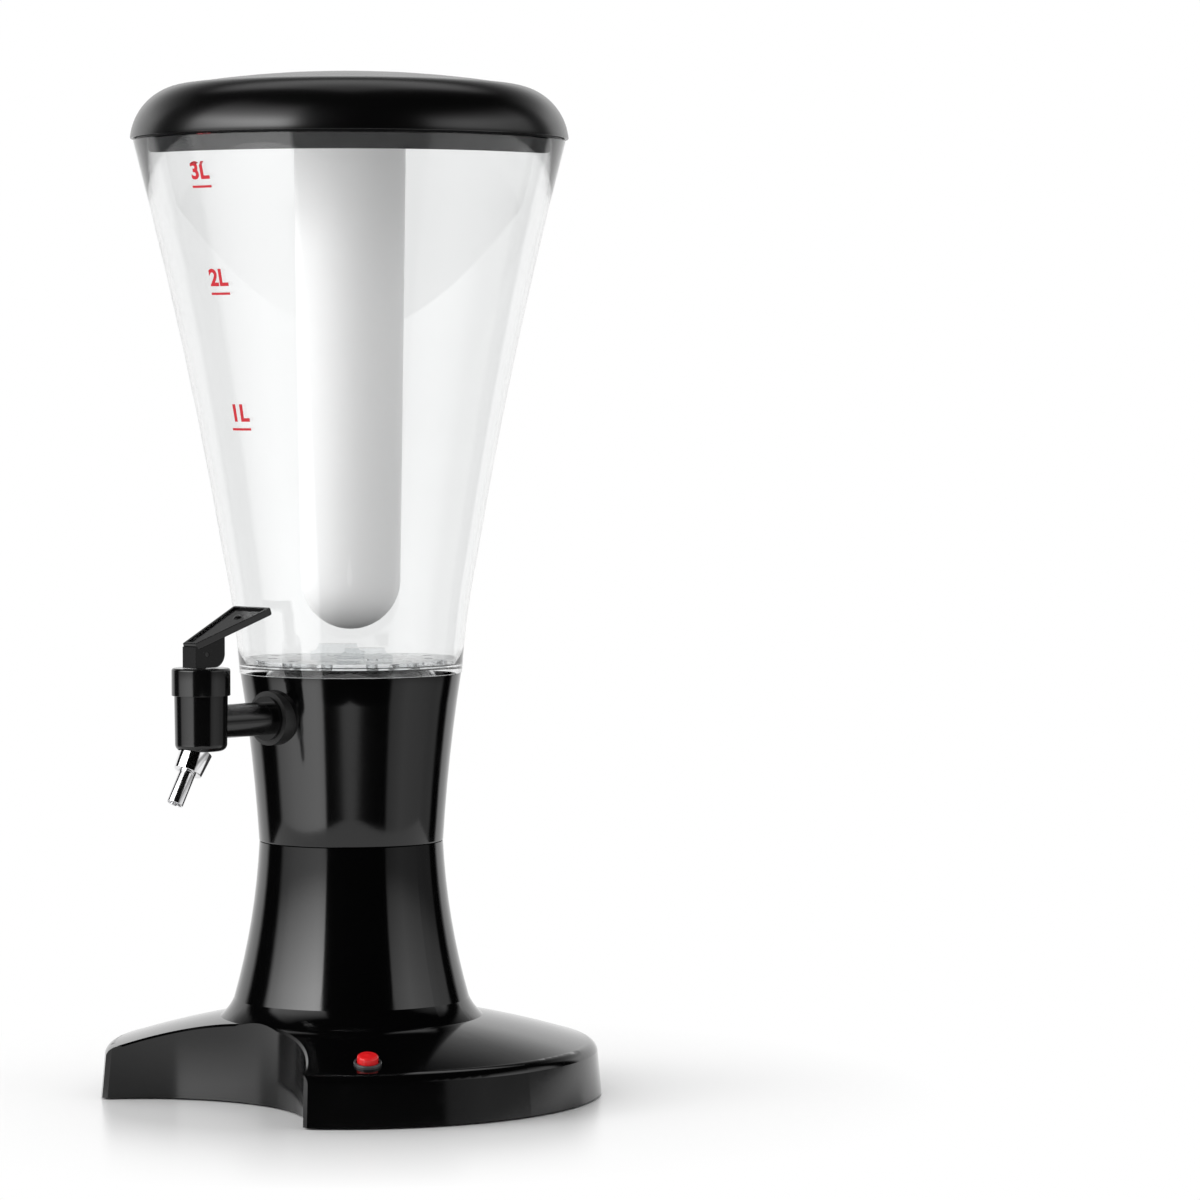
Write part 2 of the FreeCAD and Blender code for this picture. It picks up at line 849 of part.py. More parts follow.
def ring_on_shank(name, radius, bore, thickness, face):
    """A washer on the shank, from its outer face inward."""
    disc = cylinder(name + "_disc", radius, thickness, 0, thickness - face, shank_height,
                    ((1, 0, 0), 90))
    hole = cylinder(name + "_hole", bore, thickness + overcut * 2, 0,
                    thickness - face + overcut, shank_height, ((1, 0, 0), 90))
    return cut(name, disc, hole)


saddle = ring_on_shank("saddle", washer_radius, shank_radius + running_gap,
                       washer_thickness + saddle_depth, washer_front)
piece(cut("tap_outer_washer", saddle, body_outer))
inner_face = sump_radius - sump_wall - pad_boss
piece(ring_on_shank("tap_inner_washer", washer_radius, shank_radius + running_gap,
                    washer_thickness, inner_face))
nut_form = doc.addObject("Part::Prism", "nut_form")
nut_form.Polygon = 6
tie(nut_form, "Circumradius", nut_radius)
tie(nut_form, "Height", nut_thickness)
swing(nut_form, (1, 0, 0), 90)
nut_end = nut_thickness + washer_thickness - inner_face
place(nut_form, 0, nut_end, shank_height)
nut_hole = cylinder("nut_hole", shank_radius + running_gap, nut_thickness + overcut * 2, 0,
                    nut_end + overcut, shank_height, ((1, 0, 0), 90))
piece(cut("tap_nut", nut_form, nut_hole))

# Cap screwed into the barrel, guiding the stem
cap_top = barrel_top + cap_height
cap_form = turned("tap_cap", [
    (stem_radius + running_gap, barrel_top - cap_plug),
    (barrel_bore - running_gap, barrel_top - cap_plug),
    (barrel_bore - running_gap, barrel_top),
    (cap_radius, barrel_top),
    (cap_radius, cap_top - cap_round),
    (cap_radius - cap_round, cap_top, -cap_round),
    (stem_radius + running_gap, cap_top),
])
piece(place(cap_form, 0, -tap_reach, 0))

# Valve: stem with its plunger, the rubber seal and the return spring
pin_height = cap_top + pin_rise
plunger_low = valve_seat + seal_thickness
stem_form = turned("stem_form", [
    (0, plunger_low),
    (plunger_radius, plunger_low),
    (plunger_radius, plunger_low + plunger_thickness),
    (stem_radius, plunger_low + plunger_thickness),
    (stem_radius, pin_height + stem_over_pin),
    (0, pin_height + stem_over_pin),
])
place(stem_form, 0, -tap_reach, 0)
stem_pin_way = cylinder("stem_pin_way", pin_radius, stem_radius * 4, -(stem_radius * 2), -tap_reach,
                        pin_height, ((0, 1, 0), 90))
piece(cut("valve_stem", stem_form, stem_pin_way))
piece(cylinder("plunger_seal", plunger_radius, seal_thickness, 0, -tap_reach, valve_seat))


def half_turns(radius, low, high, turns):
    """A helix as arcs of half a turn in space, as the points each passes."""
    steps = int(turns * 2)
    rise = (high - low) / steps
    edges = []
    for number in range(steps):
        span = []
        for part in (0, 0.5, 1):
            angle = math.pi * (number + part)
            span.append(FreeCAD.Vector(radius * math.cos(angle), radius * math.sin(angle),
                                       low + rise * (number + part)))
        edges.append(Part.Arc(*span).toShape())
    return edges


def least_self_gap(points, wire, turns):
    """Smallest free gap between neighbouring turns, measured on points of the centre line."""
    per_turn = len(points) // turns
    gap = min((a - b).Length for i, a in enumerate(points)
              for b in points[i + per_turn // 2:])
    return gap - wire


def coil_spring(name, radius, wire, low, high, turns):
    """A compression spring: one unbroken round wire on half turn arcs."""
    centre = Part.Wire(half_turns(radius, low + wire / 2, high - wire / 2, turns))
    section = Part.Wire(Part.Circle(FreeCAD.Vector(radius, 0, low + wire / 2),
                                    FreeCAD.Vector(0, 1, 0), wire / 2).toShape())
    shell = Part.BRepOffsetAPI.MakePipeShell(centre)
    shell.add(section)
    shell.build()
    shell.makeSolid()
    spring = doc.addObject("Part::Feature", name)
    spring.Shape = shell.shape()
    print(name, "least gap between turns, mm:",
          round(least_self_gap(centre.discretize(turns * 24), wire, turns), 3))
    return spring


spring_low = plunger_low + plunger_thickness
spring_high = barrel_top - cap_plug
valve_spring = coil_spring("valve_spring", spring_radius.value, spring_wire.value,
                           spring_low.value, spring_high.value, int(spring_turns.value))
valve_spring.Placement = FreeCAD.Placement(FreeCAD.Vector(0, -tap_reach.value, 0),
                                           FreeCAD.Rotation())
piece(valve_spring)

# Lever: a cam foot on the pin, and a dished paddle that slopes up to the vessel
riser_low = cap_top + cam_gap
riser_top_front = riser_low + riser_rise
paddle_rise = tangent(paddle_tilt)
riser_form = padded("riser_form", [
    (-riser_front, riser_low),
    (riser_back - cam_radius, riser_low),
    (riser_back, riser_low + cam_radius, -cam_radius),
    (riser_back, riser_top_front + paddle_rise * (riser_back + riser_front)
     - paddle_thickness / 2),
    (-riser_front, riser_top_front - paddle_thickness / 2),
], riser_width, "YZ_Plane", 0, True)
place(riser_form, 0, -tap_reach, 0)


def on_paddle(thing, lift=0):
    """Lay a thing on the paddle's slope, its origin at the lever's outer top edge."""
    swing(thing, (1, 0, 0), paddle_tilt)
    return place(thing, 0, -tap_reach - riser_front - sine(paddle_tilt) * lift,
                 riser_top_front + cosine(paddle_tilt) * lift)


def paddle_outline(inset):
    """Straight tapered blade, narrow over the riser and wide at the tower's side."""
    side_lean = (paddle_width - paddle_neck) / 2 / paddle_length
    neck = paddle_neck / 2 - inset * (1 - side_lean)
    end = paddle_width / 2 - inset * (1 + side_lean)
    return [(-neck, inset), (neck, inset), (end, paddle_length - inset), (-end, paddle_length - inset)]


paddle_form = padded("paddle_form", paddle_outline(size(0)), paddle_thickness)
bevelled(paddle_form, "paddle_corners", "Fillet", paddle_corner,
         lambda edge: edge.BoundBox.ZLength > paddle_thickness.value / 2
         and edge.BoundBox.YMin > paddle_length.value / 2)
bevelled(paddle_form, "paddle_underside", "Fillet", paddle_under_round,
         lambda edge: edge.BoundBox.ZMax < paddle_thickness.value / 2)
bevelled(paddle_form, "paddle_lip", "Fillet", paddle_lip_round,
         lambda edge: edge.BoundBox.ZMin > paddle_thickness.value - paddle_under_round.value / 2)
on_paddle(paddle_form, -paddle_thickness)
paddle_dip = padded("paddle_dip", paddle_outline(paddle_border), paddle_dish + overcut)
on_paddle(paddle_dip, -paddle_dish)
paddle_dot = turned("paddle_dot", [
    (0, -paddle_dish),
    (dot_radius, -paddle_dish),
    (dot_radius, 0),
    (0, dot_rise, -crown(dot_radius, dot_rise)),
])
dot_along = paddle_length - dot_from_end
swing(paddle_dot, (1, 0, 0), paddle_tilt)
place(paddle_dot, 0,
      -tap_reach - riser_front + cosine(paddle_tilt) * dot_along
      + sine(paddle_tilt) * paddle_dish,
      riser_top_front + sine(paddle_tilt) * dot_along - cosine(paddle_tilt) * paddle_dish)
stem_slot = block("stem_slot", stem_radius * 2 + stem_slack * 2, slot_front + slot_back,
                  pin_rise + stem_over_pin + overcut * 2, 0,
                  (slot_back - slot_front) / 2 - tap_reach, riser_low - overcut)
lever_pin_way = cylinder("lever_pin_way", pin_radius + running_gap, riser_width * 2,
                         -riser_width, -tap_reach, pin_height, ((0, 1, 0), 90))
lever_dished = cut("lever_dished", fuse("lever_blank", riser_form, paddle_form), paddle_dip)
piece(cut("tap_lever", fuse("lever_raised", lever_dished, paddle_dot),
          stem_slot, lever_pin_way))
piece(cylinder("lever_pin", pin_radius, riser_width - pin_inset * 2,
               pin_inset - riser_width / 2, -tap_reach, pin_height, ((0, 1, 0), 90)))

# Nozzle: a tapered collar and a thin tube, leaning out over the glass
collar_form = turned("nozzle_collar", [
    (nozzle_radius + running_gap, 0),
    (collar_top_radius, 0),
    (collar_tip_radius, collar_length),
    (nozzle_radius + running_gap, collar_length),
])
piece(on_nozzle(collar_form, collar_start))
tube_form = turned("nozzle_tube", [
    (nozzle_bore, 0),
    (nozzle_radius, 0),
    (nozzle_radius, nozzle_length - tube_start),
    (nozzle_bore, nozzle_length - tube_start),
])
piece(on_nozzle(tube_form, tube_start))

# Light switch: bezel, body under the deck and the red button
bezel_way = button_radius + running_gap + seat_gap
bezel_form = turned("bezel_form", [
    (bezel_way, 0),
    (switch_radius, 0),
    (switch_radius, -bezel_skirt),
    (bezel_radius, -bezel_skirt),
    (bezel_radius, bezel_rise - bezel_round),
    (bezel_radius - bezel_round, bezel_rise, -bezel_round),
    (bezel_way, bezel_rise),
])
switch_form = turned("switch_body", [
    (0, -switch_depth),
    (switch_radius, -switch_depth),
    (switch_radius, 0),
    (bezel_way, 0),
    (bezel_way, switch_floor - switch_depth),
    (0, switch_floor - switch_depth),
])
button_form = turned("light_button", [
    (0, switch_floor - switch_depth + button_travel + running_gap),
    (button_radius, switch_floor - switch_depth + button_travel + running_gap),
    (button_radius, button_rise - button_round),
    (button_radius - button_round, button_rise, -button_round),
    (0, button_rise + button_dome, -crown(button_radius - button_round, button_dome)),
])
piece(cut("switch_bezel", on_switch(bezel_form, 0), base_form))
piece(on_switch(button_form, 0))
piece(on_switch(switch_form, 0))

# Underside: plate with a raised battery tray, its door, the cells and contacts
plate_radius = base_radius - shell_wall - plate_gap
plate_disc = cylinder("plate_disc", plate_radius, plate_thickness, 0, 0, plate_bottom)
tray_outside = block("tray_outside", tray_length + tray_wall * 2, tray_width + tray_wall * 2,
                     tray_height + tray_wall + overcut, 0, tray_middle, plate_top - overcut)
tray_inside = block("tray_inside", tray_length, tray_width,
                    tray_height + plate_thickness + overcut, 0, tray_middle,
                    plate_bottom - overcut)
plate_screw_ways = [
    post("plate_screw_way_%d" % a, size(a), post_ring, screw_radius + seat_gap,
         size(0), plate_top + overcut)
    for a in post_angles
]
plate_sinks = [
    post("plate_sink_%d" % a, size(a), post_ring, screw_head + seat_gap,
         size(0), plate_bottom + sink_gap + screw_head_height)
    for a in post_angles
]
plate_form = cut("plate_form", plate_disc, notch_tool("plate_notch", shell_wall + seat_gap))
piece(cut("base_plate", fuse("plate_moulding", plate_form, tray_outside),
          tray_inside, *(plate_screw_ways + plate_sinks)))
door_length = tray_length - seat_gap * 2
door_width = tray_width - seat_gap * 2
door_panel = block("door_panel", door_length, door_width, plate_thickness, 0, tray_middle,
                   plate_bottom)
door_grip = [
    block("door_rib_%d" % n, door_rib_length, door_rib_width, door_rib_depth, 0,
          tray_middle + door_width / 2 - door_rib_edge - door_rib_pitch * n, plate_bottom)
    for n in range(3)
]
piece(cut("battery_door", door_panel, *door_grip))
cell_low = plate_top + cell_rest
cells = []
for number in (-1, 0, 1):
    cell = turned("cell_%d" % (number + 1), [
        (0, -(cell_length / 2)),
        (cell_radius, -(cell_length / 2)),
        (cell_radius, cell_length / 2 - cell_tip_height),
        (cell_tip, cell_length / 2 - cell_tip_height),
        (cell_tip, cell_length / 2),
        (0, cell_length / 2),
    ])
    swing(cell, (0, 1, 0), size(90 if number else -90))
    cells.append(place(cell, 0, tray_middle + cell_pitch * number, cell_low + cell_radius))
piece(group("battery_cells", cells))
contacts = []
for number in (-1, 0, 1):
    for side in (-1, 1):
        contacts.append(block("contact_%d_%d" % (number + 1, side + 1),
                              contact_thickness, contact_width, contact_height,
                              (tray_length - contact_thickness) / 2 * side,
                              tray_middle + cell_pitch * number, cell_low + contact_rise))
piece(group("battery_contacts", contacts))
foot_angles = (45, 135, 225, 315)
piece(group("rubber_feet", [
    post("foot_%d" % a, size(a), foot_ring, foot_radius, size(0), plate_bottom)
    for a in foot_angles
]))


def screw(name, angle, ring, head_low):
    """Pan head screw: head below, shank rising."""
    x, y = bearing(angle, ring)
    head = cylinder(name + "_head", screw_head, screw_head_height, x, y, head_low)
    shank = cylinder(name + "_shank", screw_radius, screw_length, x, y,
                     size(head_low) + screw_head_height)
    return fuse(name, head, shank)


piece(group("plate_screws", [
    screw("plate_screw_%d" % a, size(a), post_ring, plate_bottom + sink_gap)
    for a in post_angles
]))
piece(group("column_screws", [
    screw("column_screw_%d" % a, size(a), neck_screw_ring,
          seam_height - shell_wall - screw_head_height)
    for a in neck_screw_angles
]))

# Light board on its posts under the clear sump, with the lamps
board_disc = cylinder("board_disc", board_radius, board_thickness, 0, 0, board_height)
board_hole = cylinder("board_hole", board_lead_hole, board_thickness + overcut * 2, 0, 0,
                      board_height - overcut)
board_screw_holes = [
    post("board_screw_hole_%d" % a, size(a), board_post_ring, screw_radius + seat_gap,
         board_height - overcut, board_height + board_thickness + overcut)
    for a in board_angles
]
piece(cut("light_board", board_disc, board_hole, *board_screw_holes))
board_top = board_height + board_thickness
lamps = []
for number in range(int(lamp_count.value)):
    x, y = bearing((size(number) + 0.5) * 360 / lamp_count, lamp_ring)
    lamps.append(place(turned("lamp_%d" % number, [
        (0, 0),
        (lamp_radius + lamp_flange, 0),
        (lamp_radius + lamp_flange, lamp_flange_height),
        (lamp_radius, lamp_flange_height),
        (lamp_radius, lamp_height - lamp_radius),
        (0, lamp_height, -lamp_radius),
    ]), x, y, board_top))
piece(group("light_lamps", lamps))
board_screws = []
for a in board_angles:
    x, y = bearing(size(a), board_post_ring)
    head = cylinder("board_screw_head_%d" % a, screw_head, screw_head_height, x, y, board_top)
    shank = cylinder("board_screw_shank_%d" % a, screw_radius, board_screw_length, x, y,
                     board_top - board_screw_length)
    board_screws.append(fuse("board_screw_%d" % a, head, shank))
piece(group("board_screws", board_screws))

# Report the build
doc.recompute()
for thing in doc.Objects:
    if any(word in thing.State for word in ("Invalid", "Error")):
        raise RuntimeError(thing.Name + " failed: " + str(thing.State))
for thing in pieces:
    if thing.Shape.isNull() or not thing.Shape.isValid():
        raise RuntimeError(thing.Label + " has no valid shape")
    print(thing.Label, len(thing.Shape.Solids), round(thing.Shape.Volume, 1))
    thing.Shape.exportStep("parts/" + thing.Label + ".step")
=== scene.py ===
import bpy
import math
from bpy.props import FloatProperty, FloatVectorProperty, PointerProperty
from mathutils import Matrix, Vector


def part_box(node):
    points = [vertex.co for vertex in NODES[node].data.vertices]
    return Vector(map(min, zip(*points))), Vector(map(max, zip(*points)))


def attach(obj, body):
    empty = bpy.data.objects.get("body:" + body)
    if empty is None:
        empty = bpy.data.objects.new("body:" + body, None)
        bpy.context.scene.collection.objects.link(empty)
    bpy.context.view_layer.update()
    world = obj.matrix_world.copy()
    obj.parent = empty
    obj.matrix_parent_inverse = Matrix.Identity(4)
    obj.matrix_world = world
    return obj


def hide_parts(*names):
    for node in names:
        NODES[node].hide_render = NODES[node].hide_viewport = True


bl_info = {
    "name": "Beer Tower Dispenser",
    "version": (1, 0, 0),
    "blender": (4, 5, 0),
    "location": "View3D > Sidebar > Beer Tower",
    "description": "Finishes a clear drink tower with a lever tap around its packed frame",
    "category": "Object",
}

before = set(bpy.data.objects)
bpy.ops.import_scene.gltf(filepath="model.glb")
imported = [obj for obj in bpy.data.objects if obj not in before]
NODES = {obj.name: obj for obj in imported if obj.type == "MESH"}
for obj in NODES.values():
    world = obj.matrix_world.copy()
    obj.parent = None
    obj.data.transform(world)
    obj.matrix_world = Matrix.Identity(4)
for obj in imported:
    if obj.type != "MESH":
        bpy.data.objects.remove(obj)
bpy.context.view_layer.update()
MM = 0.001
SPIN_STEPS = 256
SMALL_STEPS = 96
SHARP = math.radians(32)
# Gap between pieces that fit together, and how near points are merged, in millimetres
CLEARANCE = 0.3
WELD = 0.002
# How far a quarter round stands off its chord, as a share of its radius
QUARTER_SWELL = 1 - math.sqrt(0.5)


def top(node):
    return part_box(node)[1][2] / MM


def bottom(node):
    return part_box(node)[0][2] / MM


def reach(node):
    """Largest radius of a node that is turned about the tower's axis, from its X extent."""
    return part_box(node)[1][0] / MM


# Column, in millimetres like every size below
SEAM_HEIGHT = bottom("upper_body")
COLUMN_TOP = top("upper_body")
COLUMN_RADIUS = reach("upper_body")
COLUMN_FOOT = COLUMN_RADIUS - 8.3
COLUMN_HOLLOW = 0.9
COLUMN_WALL = 3.0
SEAM_EASE = 0.6
LEAD_HOLE = 10.0
# Vessel
FLOOR = COLUMN_TOP + 4.6
VESSEL_FOOT = COLUMN_RADIUS + 0.4
FOOT_DRAFT = 0.3
VESSEL_WAIST = VESSEL_FOOT + 7.2
WAIST_HEIGHT = FLOOR + 49.0
WAIST_HOLLOW = 0.8
VESSEL_MOUTH = reach("vessel")
MOUTH_HEIGHT = top("vessel")
MOUTH_HOLLOW = 2.12
SUMP_BOTTOM = bottom("vessel")
SUMP_RADIUS = 41.0
SUMP_WALL = 2.4
GUARD_SEAT = reach("outlet_guard") + CLEARANCE
GUARD_DEPTH = 1.2
# Lid, its tray and the ice tube
LID_TOP = top("lid_cover")
LID_RIM = bottom("lid_cover")
LID_RADIUS = reach("lid_cover")
LID_SHOULDER = LID_RADIUS - 25.45
LID_SHOULDER_HEIGHT = LID_RIM + 24.4
LID_SIDE_SWELL = 6.75
LID_INNER_SWELL = 5.0
LID_WALL = 2.4
DOME_SWELL = 1.45
LINER_BOTTOM = bottom("lid_liner")
LINER_TOP = MOUTH_HEIGHT + 2.2
LINER_RADIUS = VESSEL_MOUTH - 4.9
LINER_WALL = 2.0
COLLAR_HEIGHT = 10.0
TUBE_RADIUS = 25.4
TUBE_TIP_RADIUS = 22.6
TUBE_BOTTOM = bottom("ice_tube")
TUBE_FLANGE = 3.6
TUBE_FLANGE_THICKNESS = 4.0
COLLAR_RADIUS = TUBE_RADIUS + TUBE_FLANGE + CLEARANCE
# Tap
TAP_REACH = 92.0
CAP_SPIGOT = 3.0
BARREL_TOP = bottom("tap_cap") + CAP_SPIGOT
BARREL_BORE = 7.92
CAP_TOP = top("tap_cap")
CAP_RADIUS = reach("tap_cap")
CAP_ROUND = 1.2
STEM_WAY = 2.28
NOZZLE_TILT = math.radians(29.5)
NOZZLE_PIVOT = 167.0
COLLAR_START = 6.0
COLLAR_LENGTH = 10.6
COLLAR_TOP = 7.4
COLLAR_TIP = 6.4
TUBE_WAY = 3.78
SPOUT_START = 4.0
SPOUT_LENGTH = 28.0
SPOUT_RADIUS = 3.7
SPOUT_BORE = 2.9
# Light switch
BUTTON_BEARING = math.radians(50.0)
BUTTON_TILT = math.radians(16.0)
BUTTON_RING = 99.0
DECK_AT_BUTTON = 26.68
BUTTON_RADIUS = 4.7
BUTTON_DEPTH = 5.4
BUTTON_RISE = 4.4
BUTTON_CROWN = 0.5
BUTTON_ROUND = 1.2
BUTTON_WAY = 5.08
SWITCH_RADIUS = 5.6
BEZEL_RADIUS = 6.2
BEZEL_DEPTH = 1.0
BEZEL_RISE = 1.4
BEZEL_ROUND = 0.6
# Litre marks: litres and the height of the figure's middle
MARKS = ((1, 310.0), (2, 369.8), (3, 416.8))
MARK_BEARING = math.radians(1.2)
MARK_LEAN = math.radians(-12.0)
FIGURE_SCALE = 1.37
FIGURE_WEIGHT = 0.045
FIGURE_SPACING = 1.02
LINE_LENGTH = 1.48
LINE_WEIGHT = 0.14
LINE_DROP = 0.9
LINE_CUTS = 4
INK_LIFT = 0.06

# The front of the studio: bearing of the camera, counted from the tap's side (-Y) towards +X
FRONT_BEARING = math.radians(46.0)
# Floor in metres: its side, and where it starts and ends its fade to white, from the axis
FLOOR_SIZE = 0.9
FADE_START = 0.12
FADE_END = 0.27
# Cards round the studio that gloss shows: light by bearing from the camera in degrees,
# left negative, and its factor by height, the sine of the elevation
CARD_GAIN = 4.0
LEFT_CARD = (
    ((-98, 0.0), (-92, 1.4), (-72, 2.3), (-55, 2.8), (-40, 3.1), (-32, 2.9), (-30, 0.0)),
    ((-0.45, 0.0), (-0.4, 0.85), (-0.12, 0.85), (-0.05, 0.4), (0.05, 0.4), (0.13, 1.0),
     (0.3, 1.9), (0.42, 2.6), (0.58, 0.9), (0.75, 0.3), (0.85, 0.0)),
)
RIGHT_CARD = (
    ((42, 0.0), (45, 0.7), (63, 1.0), (81, 0.8), (101, 0.5), (112, 0.45), (116, 0.0)),
    ((-0.45, 0.0), (-0.4, 0.85), (-0.12, 0.85), (-0.05, 0.35), (0.05, 0.35), (0.12, 1.0),
     (0.2, 1.3), (0.4, 2.0), (0.55, 0.5), (0.65, 0.0)),
)
BACKDROP = (
    ((-180, 1.0), (-130, 1.0), (-123, 0.0), (129, 0.0), (134, 1.0), (180, 1.0)),
    ((-0.45, 0.0), (-0.4, 1.0), (0.3, 1.0), (0.45, 0.4), (0.6, 0.08), (0.66, 0.0)),
)
ROOF_CARD = (
    ((-180, 1.0), (-145, 1.0), (-135, 0.0), (135, 0.0), (145, 1.0), (180, 1.0)),
    ((0.68, 0.0), (0.78, 1.0), (0.88, 1.0), (0.95, 0.6), (1.0, 0.5)),
)
CARDS = (LEFT_CARD, RIGHT_CARD, BACKDROP, ROOF_CARD)
# Soft light on the finishes and through the clear wall: white behind, most on the left
SOFT_LIGHT = (
    ((-180, 1.0), (-120, 1.0), (-100, 0.8), (-85, 1.4), (-60, 1.8), (-40, 1.6), (-10, 0.75),
     (40, 0.5), (65, 0.8), (100, 0.75), (118, 0.75), (132, 1.0), (180, 1.0)),
    ((-1.0, 1.5), (-0.4, 1.3), (-0.22, 1.0), (0.25, 1.0), (0.4, 0.85), (1.0, 0.85)),
)
# Camera: as far off and as long as makes the photograph's frame
EYE_DISTANCE = 2.275
EYE_HEIGHT = 0.3294
LENS = 150.0
SENSOR = 36.0
FRAME_PIXELS = 1200.0
AXIS_COLUMN = 350.5
HORIZON_ROW = 371.0
# Lamps: name, bearing and elevation in degrees, distance, width, height, power
LAMPS = (
    ("key_softbox", -35.0, 20.0, 1.9, 1.1, 0.9, 18.0),
    ("right_softbox", 118.0, 40.0, 2.0, 0.8, 0.8, 3.0),
)
AIM = Vector((0.0, 0.0, 0.28))


def bearing_vector(angle, lift=0.0):
    """Unit direction at a bearing from the tap's side, raised by an elevation."""
    flat = math.cos(lift)
    return Vector((math.sin(angle) * flat, -math.cos(angle) * flat, math.sin(lift)))


# Shader maths


class Socket:
    """A shader output on which plain arithmetic adds Math nodes."""

    def __init__(self, nodes, output):
        self.nodes = nodes
        self.output = output

    def _math(self, operation, *values):
        """A Math node on sockets and numbers."""
        return self.nodes.make("ShaderNodeMath", {"operation": operation},
                               dict(enumerate(values)))

    def __add__(self, other):
        return self._math("ADD", self, other)

    def __radd__(self, other):
        return self._math("ADD", other, self)

    def __sub__(self, other):
        return self._math("SUBTRACT", self, other)

    def __rsub__(self, other):
        return self._math("SUBTRACT", other, self)

    def __mul__(self, other):
        return self._math("MULTIPLY", self, other)

    def __rmul__(self, other):
        return self._math("MULTIPLY", other, self)

    def __truediv__(self, other):
        return self._math("DIVIDE", self, other)

    def __rtruediv__(self, other):
        return self._math("DIVIDE", other, self)

    def __pow__(self, other):
        return self._math("POWER", self, other)

    def at_least(self, other):
        return self._math("MAXIMUM", self, other)

    def at_most(self, other):
        return self._math("MINIMUM", self, other)

    def over(self, other):
        return self._math("GREATER_THAN", self, other)


class Tree:
    """One node tree, with the method that makes every node in it."""

    def __init__(self, owner):
        owner.use_nodes = True
        self.tree = owner.node_tree
        self.tree.nodes.clear()

    def make(self, kind, settings=None, inputs=None, output=0):
        node = self.tree.nodes.new(kind)
        for name, value in (settings or {}).items():
            if name == "stops":
                self._ramp(node, value)
            else:
                setattr(node, name, value)
        for name, value in (inputs or {}).items():
            if isinstance(value, Socket):
                self.tree.links.new(value.output, node.inputs[name])
            else:
                node.inputs[name].default_value = value
        return Socket(self, node.outputs[output]) if node.outputs else None

    @staticmethod
    def _ramp(node, stops):
        ramp = node.color_ramp
        while len(ramp.elements) > 1:
            ramp.elements.remove(ramp.elements[-1])
        ramp.elements[0].position = stops[0][0]
        ramp.elements[0].color = stops[0][1]
        for position, colour in stops[1:]:
            ramp.elements.new(position).color = colour

    def object_point(self, scale=(1, 1, 1), turn=(0, 0, 0), shift=(0, 0, 0)):
        point = self.make("ShaderNodeTexCoord", output="Object")
        return self.make("ShaderNodeMapping", {},
                         {"Vector": point, "Location": shift, "Rotation": turn, "Scale": scale})

    def noise(self, point, scale, detail=3.0, roughness=0.5):
        return self.make("ShaderNodeTexNoise", {},
                         {"Vector": point, "Scale": scale, "Detail": detail,
                          "Roughness": roughness}, output="Fac")

    def split(self, vector):
        parts = self.make("ShaderNodeSeparateXYZ", {}, {"Vector": vector})
        node = parts.output.node
        return [Socket(self, node.outputs[axis]) for axis in ("X", "Y", "Z")]

    def ramp(self, factor, stops):
        return self.make("ShaderNodeValToRGB", {"stops": stops}, {"Fac": factor})

    def blend(self, factor, first, second):
        return self.make("ShaderNodeMix", {"data_type": "RGBA"},
                         {0: factor, 6: first, 7: second}, output=2)

    def bump(self, height, strength, distance):
        return self.make("ShaderNodeBump", {},
                         {"Height": height, "Strength": strength, "Distance": distance})

    def surface(self, values):
        self.finish(self.make("ShaderNodeBsdfPrincipled", {}, values))

    def finish(self, shader, kind="ShaderNodeOutputMaterial"):
        """Join a shader to the tree's output."""
        self.make(kind, {}, {"Surface": shader})


def opaque(colour, strength=1.0):
    return (colour[0] * strength, colour[1] * strength, colour[2] * strength, 1.0)


MADE = {}


def material(name):
    """A material by its name, made the first time it is asked for."""
    if name not in MADE:
        made = bpy.data.materials.new(name)
        RECIPES[name](Tree(made))
        MADE[name] = made
    return MADE[name]


def moulded_plastic(tree, colour, roughness, grain_scale, grain_depth, gloss_level=0.5,
                    wear=0.04):
    """Moulded plastic: faint flow in its gloss, a fine skin and rubbed places."""
    point = tree.object_point()
    flow = tree.noise(point, 14.0, 3.0)
    skin = tree.noise(point, grain_scale, 2.0)
    rubbed = (tree.noise(point, 55.0, 5.0, 0.65) - 0.58).at_least(0.0) * 4.0
    gloss = roughness + (flow - 0.5) * wear + rubbed * wear
    tone = tree.blend(flow, opaque(colour, 0.85), opaque(colour, 1.15))
    tree.surface({
        "Base Color": tone,
        "Roughness": gloss,
        "IOR": 1.5,
        "Specular IOR Level": gloss_level,
        "Normal": tree.bump(skin, 0.25, grain_depth),
    })


def gloss_black(tree):
    moulded_plastic(tree, settings().black, 0.1, 420.0, 0.00002)


def lid_black(tree):
    moulded_plastic(tree, settings().black, 0.24, 900.0, 0.00002)


def satin_black(tree):
    moulded_plastic(tree, settings().tap_black, 0.14, 900.0, 0.00002)


def liner_black(tree):
    moulded_plastic(tree, settings().liner_black, 0.34, 1600.0, 0.00008, 0.14)


def clear_wall(tree):
    """Clear moulded wall with faint flow lines round the axis and tiny specks."""
    point = tree.object_point()
    flow = tree.noise(tree.object_point(scale=(1, 1, 4)), 6.0, 2.0)
    specks = tree.noise(point, 700.0, 2.0)
    tree.surface({
        "Base Color": tree.blend(flow, (0.925, 0.93, 0.93, 1), (0.955, 0.96, 0.96, 1)),
        "Roughness": (specks - 0.6).at_least(0.0) * 0.15,
        "IOR": settings().clear_bend,
        "Transmission Weight": 1.0,
        "Normal": tree.bump(flow, 0.08, 0.0004),
    })


